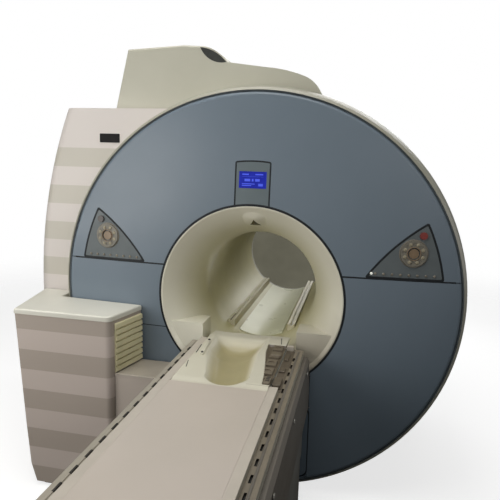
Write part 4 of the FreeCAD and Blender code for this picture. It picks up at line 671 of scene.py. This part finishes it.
def plate(name, low, high, radius, material, slot):
    """A flat plate with rounded corners, facing the front: low and high are corners, the front is the lower Y."""
    corners = []
    left, right, foot, top = low[0] + radius, high[0] - radius, low[2] + radius, high[2] - radius
    for cx, cz, first in ((right, top, 0), (left, top, 90), (left, foot, 180), (right, foot, 270)):
        for step in range(CORNER_STEPS + 1):
            turn = math.radians(first + 90 / CORNER_STEPS * step)
            corners.append((cx + radius * math.cos(turn), cz + radius * math.sin(turn)))
    count = len(corners)
    edge = min(PLATE_BEVEL, (high[1] - low[1]) / 3)
    vertices = [Vector((x, high[1], z)) for x, z in corners]
    vertices += [Vector((x, low[1] + edge, z)) for x, z in corners]
    middle_x, middle_z = (low[0] + high[0]) / 2, (low[2] + high[2]) / 2
    for x, z in corners:
        inward = Vector((middle_x - x, 0, middle_z - z)).normalized() * edge
        vertices.append(Vector((x, low[1], z)) + inward)
    faces = [tuple(range(count)), tuple(range(2 * count, 3 * count))]
    for row in (0, count):
        faces += [(row + n, row + (n + 1) % count, row + count + (n + 1) % count, row + count + n)
                  for n in range(count)]
    piece(name, vertices, faces, material, slot=slot, smooth=False)


plate("type_plate", (-0.885, -0.6375, 1.771), (-0.770, -0.6345, 1.818), 0.004, plate_black, "plinth_dark")

# --------------------------------------------------------------------------------------------------
# Cabinet beside the table: a warm grey banded housing with a lighter lid, ribbed louvres on its right, a dark
# plinth, and the low ledge box next to it.
dress(banded("banded_grey", (190, 178, 170), (167, 156, 146), 0.9455, 0.1045), "cabinet_shell")
dress(finish("lid_cream", (216, 214, 203), (208, 206, 195), 0.42, mottle_scale=3), "cabinet_lid")
# Painted light: the louvres' olive is painted lighter than the cabinet's grey, to brighten the cabinet's shaded right
# side.
dress(finish("louvre_olive", (214, 207, 170), (202, 195, 158), 0.5, mottle_scale=6), "cabinet_louvres")
# Painted light and shade: the ledge box's grey is lighter, against the table's shadow on its front, and its top above
# 0.641 m is painted darker.
ledge_grey = finish("ledge_grey", (188, 177, 167), (179, 169, 159), 0.45, mottle_scale=3)
tint(ledge_grey, (158, 150, 137), Under=0.641, Soft=0.006)
dress(ledge_grey, "ledge_box")
plinth_dark = finish("plinth_dark", (60, 58, 56), (48, 46, 44), 0.55, mottle_scale=8)
dress(plinth_dark, "cabinet_plinth", "ledge_box_plinth")

# --------------------------------------------------------------------------------------------------
# Patient table: a beige laminate tabletop that runs on glides between two slotted rails, on a frame with side covers
# that slide over a fixed lower cover, round two hydraulic lifts.
table_laminate = finish("table_laminate", (191, 181, 171), (183, 174, 163), 0.34, mottle_scale=2, coat=0.15)
dress(table_laminate, "tabletop_board")
rail_grey = finish("rail_grey", (166, 162, 148), (156, 152, 138), 0.4, mottle_scale=5)
tint(rail_grey, (188, 180, 168), Outer=0.2362, Under=0.7935)
tint(rail_grey, (158, 151, 138), Inner=0.2358, Outer=0.2835, Under=0.7893)
# Painted shade: the right rail's slot strip is painted darker than the left's, for the shade on the table's right
# side.
tint(rail_grey, (126, 117, 102), Inner=0.2358, Outer=0.2835, Under=0.7893, Mirror=0.0)
# Painted shade: a near-black strip along the slots, for the shade in their hollows.
tint(rail_grey, (26, 23, 20), Inner=0.2460, Outer=0.2562, Under=0.775, Over=0.7908, Soft=0.0003)
dress(rail_grey, "left_slotted_rail", "right_slotted_rail")
skirt_grey = finish("skirt_grey", (106, 100, 92), (98, 93, 85), 0.5, mottle_scale=4)
dress(skirt_grey, "left_table_skirt", "right_table_skirt", "table_head_cover", "table_foot_cover")
dress(finish("lift_grey", (120, 118, 112), (110, 108, 102), 0.5, mottle_scale=4, dust=(0.2, (100, 96, 88))),
      "lower_lift_cover", "middle_lift_cover", "table_base_plate")
dress(finish("bright_steel", (196, 197, 198), (182, 183, 184), 0.25, mottle_scale=15, metallic=1.0),
      "lift_rams", "lift_cylinders")
dress(finish("frame_metal", (178, 180, 182), (166, 168, 170), 0.4, mottle_scale=10, metallic=0.9), "table_frame")
dress(finish("glide_white", (214, 212, 204), (206, 204, 196), 0.4, mottle_scale=10), "glide_strips")


def moulding(low, high, round_by):
    """Vertices and faces of a small block with rounded edges, between two corners."""
    shape = bmesh.new()
    bmesh.ops.create_cube(shape, size=1.0)
    low, high = Vector(low), Vector(high)
    for vertex in shape.verts:
        vertex.co = Vector([low[n] + (high[n] - low[n]) * (vertex.co[n] + 0.5) for n in range(3)])
    bmesh.ops.bevel(shape, geom=shape.edges[:], offset=round_by, segments=3, profile=0.5, affect="EDGES")
    shape.verts.ensure_lookup_table()
    shape.verts.index_update()
    vertices = [vertex.co.copy() for vertex in shape.verts]
    faces = [tuple(vertex.index for vertex in face.verts) for face in shape.faces]
    shape.free()
    return vertices, faces


TABLE_NEAR, TABLE_FAR, CUT_NEAR, CUT_FAR = -2.926, -0.872, -1.340, -0.872
SEAL_SIDES, SEAL_FOOT, SEAL_TOP = (0.2003, 0.2044), 0.8062, 0.8118
RIDGE_SIDES, RIDGE_FOOT, RIDGE_TOP = (0.2572, 0.2662), 0.7880, 0.7938
SLOT_COUNT, SLOT_PITCH, SLOT_NEAR, SLOT_FAR = 23, 0.08636, -0.997, -0.955
SKIRT_FACE, SKIRT_SCREWS, SKIRT_SCREW_Z, SKIRT_SCREW_Y, SKIRT_SCREW_PITCH = 0.318, 5, 0.728, -2.82, 0.46

# Painted shade: the right ridge takes the darker skirt grey, for the shade on the table's right side.
for side, sign, far, ridge_paint in (("left", -1, TABLE_FAR, rail_grey), ("right", 1, CUT_NEAR - 0.002, skirt_grey)):
    left, right = sorted(sign * x for x in SEAL_SIDES)
    seal_bar = moulding((left, TABLE_NEAR, SEAL_FOOT), (right, far, SEAL_TOP), 0.0003)
    piece(f"{side}_board_seal", *seal_bar, table_laminate, body="lift_frame", slot="table_top")
    left, right = sorted(sign * x for x in RIDGE_SIDES)
    ridge = moulding((left, TABLE_NEAR, RIDGE_FOOT), (right, TABLE_FAR, RIDGE_TOP), 0.0018)
    piece(f"{side}_rail_ridge", *ridge, ridge_paint, body="lift_frame", slot="table_side")
pit_dark = finish("pit_dark", (38, 33, 27), (28, 24, 20), 0.6, mottle_scale=30)
# Painted shade: dark blocks along the left rail's slots stand in for the shade in their hollows.
slot_end = moulding((-0.2628, SLOT_NEAR, 0.7890), (-0.2556, SLOT_FAR, 0.7943), 0.0004)
slot_ends = [(Matrix.Translation((0, -n * SLOT_PITCH, 0)), *slot_end) for n in range(SLOT_COUNT)]
piece("left_slot_ends", *gather(slot_ends), pit_dark, body="lift_frame", slot="table_side")

skirt_screws = []
for sign in (-1, 1):
    outwards = Matrix.Rotation(sign * math.pi / 2, 4, "Y")
    for number in range(SKIRT_SCREWS):
        spot = (sign * SKIRT_FACE, SKIRT_SCREW_Y + SKIRT_SCREW_PITCH * number, SKIRT_SCREW_Z)
        skirt_screws.append((Matrix.Translation(spot) @ outwards, *screw))
piece("skirt_screws", *gather(skirt_screws), fastener_grey, body="lift_frame", slot="frame_alu")

# --------------------------------------------------------------------------------------------------
# Table head: a moulded cream section with a soft bowl for the head, and a slanted recess at its right for the coils'
# plugs, which goes on over the rail's cut end. A grab lever is let into its left edge.
head_cream = finish("head_cream", (205, 201, 184), (197, 193, 176), 0.36, mottle_scale=4, coat=0.1)
# Painted shade: the head's near ramp is painted darker, to damp the light on its edge.
tint(head_cream, (186, 180, 163), Near=-1.42, Far=-1.372, Over=0.8176, Soft=0.012)
# Painted shade: the bowl's deep part, below 0.808 m, is painted olive for the shade in the hollow.
tint(head_cream, (172, 163, 126), Outer=0.180, Near=-1.42, Far=-0.80, Under=0.70, Over=0.808, Soft=0.032)
tint(head_cream, (100, 90, 76), Inner=0.106, Near=-1.352, Far=-0.866, Under=0.8035, Over=0.8172, Soft=0.0012,
     Mirror=0.0)
HEAD_NEAR, HEAD_FAR, HEAD_HALF, HEAD_TOP, BOARD_TOP, FLANGE = -1.385, -0.725, 0.200, 0.818, 0.812, 0.802
HEAD_RAMP, FALL_NEAR, FALL_RUN, FALL_DEPTH, LIP_WIDTH, LIP_DROP = 0.050, -0.805, 0.080, 0.009, 0.006, 0.004
BELLY_HALF, BELLY_RADIUS, LEAST_WALL = 0.146, 0.286, 0.003
BOWL_NEAR, BOWL_LENGTH, BOWL_MIDDLE, BOWL_DRIFT, DRIFT_END = -1.285, 0.455, 0.014, 0.075, 0.62
BOWL_HEIGHT, BOWL_RADIUS, BOWL_WIDENING, BOWL_BRIM = 0.844, 0.094, 0.056, 0.026
BOWL_FLOOR, FLOOR_LIFT, LIFT_NEAR, LIFT_RUN, FLOOR_SOFT = 0.750, 0.070, -0.930, 0.135, 0.02
RECESS_FLOOR, RECESS_SOFT = 0.806, 0.007
# The recess's left edge, from its near end to its far end: each corner's Y and X.
RECESS_EDGE = [(-1.400, 0.176), (-1.363, 0.171), (-1.265, 0.162), (-1.121, 0.142), (-0.980, 0.119), (-0.800, 0.108)]


def ease(value):
    """0 up to 1 with soft ends."""
    value = min(max(value, 0.0), 1.0)
    return value * value * (3 - 2 * value)


def lower_of(first, second, soft):
    """The lower of two heights, with a rounded edge where they meet."""
    near = max(soft - abs(first - second), 0.0) / soft
    return min(first, second) - near * near * soft / 4


def head_under(x):
    """The underside: flanges on the glides, and a round belly between them."""
    return FLANGE if abs(x) > BELLY_HALF else AXIS - half_chord(BELLY_RADIUS, x)


def head_top(x, y):
    """The height of the head section's upper face."""
    plate = BOARD_TOP + (HEAD_TOP - BOARD_TOP) * ease((y - HEAD_NEAR) / HEAD_RAMP)
    plate -= FALL_DEPTH * ease((y - FALL_NEAR) / FALL_RUN) + LIP_DROP * (1 - ease((x + HEAD_HALF) / LIP_WIDTH)) ** 2
    along = y - BOWL_NEAR
    reach = min(max(along / BOWL_LENGTH, 0.0), 1.0)
    middle = BOWL_MIDDLE - BOWL_DRIFT * min(reach, DRIFT_END)
    height, radius = BOWL_HEIGHT + BOWL_WIDENING * reach, BOWL_RADIUS + BOWL_WIDENING * reach
    room = radius**2 - (x - middle) ** 2 - min(along, 0.0) ** 2
    if room > 0:
        bottom = BOWL_FLOOR + FLOOR_LIFT * ease((y - LIFT_NEAR) / LIFT_RUN)
        bowl = -lower_of(math.sqrt(room) - height, -bottom, FLOOR_SOFT)
        plate = lower_of(plate, bowl, BOWL_BRIM)
    for (near, edge), (far, next_edge) in zip(RECESS_EDGE, RECESS_EDGE[1:]):
        if near <= y < far:
            inside = min(x - edge - (next_edge - edge) * (y - near) / (far - near), y - CUT_NEAR, CUT_FAR - y)
            plate -= (plate - RECESS_FLOOR) * ease(inside / RECESS_SOFT)
    return max(plate, head_under(x) + LEAST_WALL)


def head_place(u, v, face):
    """The head section's upper face and its underside."""
    x, y = -HEAD_HALF + 2 * HEAD_HALF * u, HEAD_NEAR + (HEAD_FAR - HEAD_NEAR) * v
    return Vector((x, y, head_under(x) if face else head_top(x, y)))


head_section = piece("head_section", *shell(120, 200, head_place), head_cream, body="tabletop", slot="cream_light")
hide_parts("tabletop_head")

socket_dark = finish("socket_dark", (112, 103, 88), (98, 89, 75), 0.5, mottle_scale=20)
dress(socket_dark, "coil_sockets")
recess_brown = finish("recess_brown", (98, 88, 74), (84, 75, 62), 0.55, mottle_scale=14)


def blocks(*mouldings):
    """Several mouldings, each by two corners and its edges' radius, as one list of vertices and one of faces."""
    return gather([(flat, *moulding(*sizes)) for sizes in mouldings])


liner = blocks(((0.2046, CUT_NEAR + 0.001, 0.7905), (0.2448, CUT_FAR - 0.001, 0.7928), 0.0006),
               ((0.2060, -1.318, 0.7922), (0.2390, -1.236, 0.8110), 0.003),
               ((0.2090, -1.150, 0.7922), (0.2340, -1.105, 0.8010), 0.003),
               ((0.2110, -1.010, 0.7922), (0.2300, -0.930, 0.7990), 0.003))
piece("rail_liner", *liner, recess_brown, body="lift_frame", slot="socket_dark")
plugs = blocks(((0.1715, -1.334, 0.8055), (0.1985, -1.262, 0.8230), 0.003),
               ((0.1500, -1.020, 0.8055), (0.1960, -0.985, 0.8210), 0.003))
piece("plug_blocks", *plugs, socket_dark, body="tabletop", slot="socket_dark")


def slanted(low, high, width, base, height, round_by=0.0008):
    """A matrix, vertices and faces for a thin bar laid on the head from one (x, y) to another."""
    low, high = Vector(low), Vector(high)
    run = high - low
    turn = Matrix.Rotation(math.atan2(run.y, run.x), 4, "Z")
    bar = moulding((0, -width / 2, 0), (run.length, width / 2, height), round_by)
    return Matrix.Translation((low.x, low.y, base)) @ turn, *bar


# Dark marks: painted shade in the head's top slits, the lever's two screws, and the contacts on the first plug.
pits = [slanted((0.163, -0.775), (0.175, -0.862), 0.004, 0.8165, 0.0018),
        slanted((-0.1965, -0.969), (-0.1890, -1.079), 0.005, 0.816, 0.0024),
        slanted((-0.1930, -1.177), (-0.1780, -1.251), 0.004, 0.8165, 0.0018)]
lever_screw = turned_shape([(0, 0.0155), (0.0045, 0.0150), (0.0060, 0.0130), (0.0060, 0), (0, 0)], 20)
pits += [(Matrix.Translation((x, y, 0.8175)), *lever_screw) for x, y in ((-0.172, -0.923), (-0.156, -1.092))]
pits += [slanted((0.178, y), (0.194, y), 0.009, 0.8222, 0.0012, 0.0004) for y in (-1.275, -1.293, -1.311)]
piece("head_pits", *gather(pits), pit_dark, body="tabletop", slot="socket_dark")
lever = [slanted((-0.1725, -0.915), (-0.1555, -1.100), 0.017, 0.8172, 0.0110, 0.004)]
piece("grab_lever", *gather(lever), head_cream, body="tabletop", slot="cream_light")

# --------------------------------------------------------------------------------------------------
# Stage: a pale floor that fades out to a white room, soft lamps above the left front and behind, and a dim wall at
# the far end of the bore.
FLOOR_RADIUS, FLOOR_MIDDLE_Y = 9, -1
WALL_RADIUS, WALL_Y = 0.34, 0.792
SHEET_SIDES = 48


def round_sheet(name, paint, radius, place):
    """A flat round sheet and its material's tree, which is empty. place(across, up) gives a point of its edge."""
    material, tree, _ = blank(paint)
    tree.nodes.clear()
    edge = [place(radius * math.cos(turn), radius * math.sin(turn)) for turn in around(SHEET_SIDES)]
    mesh = bpy.data.meshes.new(name)
    mesh.from_pydata(edge, [], [tuple(range(SHEET_SIDES))])
    mesh.materials.append(material)
    return add(name, mesh), tree


floor, tree = round_sheet(
    "pale_floor", "floor_paint", FLOOR_RADIUS, lambda across, up: (across, FLOOR_MIDDLE_Y + up, 0))
ray = put(tree, "ShaderNodeLightPath")
place = object_place(tree)
reach = put(tree, "ShaderNodeVectorMath", {0: place, 1: (0.0, FLOOR_MIDDLE_Y, 0.0)}, operation="DISTANCE")
fade = put(tree, "ShaderNodeMapRange", {"Value": reach.outputs["Value"], "From Min": 3.0, "From Max": 7.5},
           interpolation_type="SMOOTHSTEP")
matt = put(tree, "ShaderNodeBsdfDiffuse", {"Color": (0.42, 0.42, 0.42, 1)})
own = put(tree, "ShaderNodeEmission", {"Color": (1, 1, 1, 1), "Strength": 0.70})
pale = put(tree, "ShaderNodeAddShader", {0: matt.outputs[0], 1: own.outputs[0]})
dim = put(tree, "ShaderNodeBsdfDiffuse", {"Color": (0.05, 0.048, 0.045, 1)})
seen = put(tree, "ShaderNodeMixShader", {0: ray.outputs["Is Camera Ray"], 1: dim.outputs[0], 2: pale.outputs[0]})
clear = put(tree, "ShaderNodeBsdfTransparent")
faded = put(tree, "ShaderNodeMixShader", {0: fade.outputs["Result"], 1: seen.outputs[0], 2: clear.outputs[0]})
put(tree, "ShaderNodeOutputMaterial", {"Surface": faded.outputs[0]})

# The dim room seen through the bore: a disc that shows only to a camera in front, and lets all other light through.
dim_room, tree = round_sheet("dim_room", "dim_wall", WALL_RADIUS, lambda across, up: (across, WALL_Y, AXIS + up))
ray = put(tree, "ShaderNodeLightPath")
front = maths(tree, "SUBTRACT", 1.0, put(tree, "ShaderNodeNewGeometry").outputs["Backfacing"])
wall_seen = maths(tree, "MULTIPLY", ray.outputs["Is Camera Ray"], front)
wall = put(tree, "ShaderNodeEmission", {"Color": clouded(tree, 5.0, (102, 100, 87), (92, 90, 78)), "Strength": 1.0})
open_air = put(tree, "ShaderNodeBsdfTransparent")
mixed = put(tree, "ShaderNodeMixShader", {0: wall_seen, 1: open_air.outputs[0], 2: wall.outputs[0]})
put(tree, "ShaderNodeOutputMaterial", {"Surface": mixed.outputs[0]})

# The camera sees a white room, and the part is lit by it only a little.
room = bpy.data.worlds.new("white_room")
room.use_nodes = True
bpy.context.scene.world = room
tree = room.node_tree
tree.nodes.clear()
ray = put(tree, "ShaderNodeLightPath")
shown = maths(tree, "MAXIMUM", ray.outputs["Is Camera Ray"], ray.outputs["Is Transmission Ray"])
white = put(tree, "ShaderNodeBackground", {"Color": (1, 1, 1, 1), "Strength": 1.0})
soft = put(tree, "ShaderNodeBackground", {"Color": (0.96, 0.98, 1.0, 1), "Strength": 0.11})
both = put(tree, "ShaderNodeMixShader", {0: shown, 1: soft.outputs[0], 2: white.outputs[0]})
put(tree, "ShaderNodeOutputWorld", {"Surface": both.outputs[0]})


def lamp(name, place, target, width, height, power, colour=(1.0, 1.0, 1.0), spread=180):
    """A soft rectangular lamp that looks at a target, in watts, with its beam's spread in degrees."""
    light = bpy.data.lights.new(name, "AREA")
    light.shape = "RECTANGLE"
    light.size, light.size_y = width, height
    light.energy = power
    light.color = colour
    light.spread = math.radians(spread)
    made = add(name, light)
    made.location = place
    made.rotation_euler = (Vector(target) - Vector(place)).to_track_quat("-Z", "Y").to_euler()
    return made


WARM = (1.0, 0.985, 0.95)
lamp("left_lamp", (-1.9, -2.6, 1.7), (-0.6, -0.8, 1.2), 1.6, 1.3, 31, WARM)
lamp("low_left_lamp", (-3.2, -2.2, 1.2), (-0.6, -0.9, 0.9), 1.4, 1.2, 7.5, WARM)
lamp("right_lamp", (2.0, -3.4, 2.4), (-0.1, -0.7, 1.15), 0.9, 0.9, 1.8, WARM, spread=50)
lamp("ceiling_lamp", (-0.3, -1.5, 4.2), (-0.2, -1.5, 0.8), 3.0, 2.0, 84, (1.0, 0.99, 0.96))
lamp("foot_lamp", (0.3, -5.2, 2.3), (0.0, -3.05, 0.20), 1.0, 0.7, 3.5, (1.0, 0.99, 0.97), spread=40)
lamp("side_lamp", (4.4, -0.4, 1.9), (0.6, -0.5, 0.8), 2.0, 1.8, 26)
lamp("rear_ceiling_lamp", (0.5, 3.4, 3.2), (-0.2, 0.4, 1.0), 2.6, 2.0, 66)
lamp("rear_lamp", (0.9, 2.6, 1.9), (-0.2, 0.6, 1.05), 1.0, 1.0, 15)
bore_lamp = lamp("bore_lamp", (0.0, -0.10, 1.300), (0.0, -0.10, 0.8), 0.10, 0.90, 0.4, (1.0, 1.0, 0.93), spread=90)
bore_lamp.visible_camera = False

# --------------------------------------------------------------------------------------------------
# Camera: at standing eye height, right of the table's foot. It looks slightly left and down, and leans a little to
# one side, as a camera does that is held in the hand.
EYE, LENS = (0.5135, -3.2707, 1.6921), 37.56
yaw, pitch, roll = 0.2078, 0.1683, -0.0278
ahead = Vector((-math.sin(yaw) * math.cos(pitch), math.cos(yaw) * math.cos(pitch), -math.sin(pitch)))
level = Vector((math.cos(yaw), math.sin(yaw), 0))
down = ahead.cross(level)
across = level * math.cos(roll) + down * math.sin(roll)
down = down * math.cos(roll) - level * math.sin(roll)
camera = add("camera", bpy.data.cameras.new("camera"))
camera.matrix_world = Matrix.Translation(EYE) @ Matrix((across, -down, -ahead)).transposed().to_4x4()
camera.data.lens = LENS
camera.data.sensor_width = 36
camera.data.clip_start = 0.05
bpy.context.scene.camera = camera
bpy.context.scene.view_settings.view_transform = "Standard"
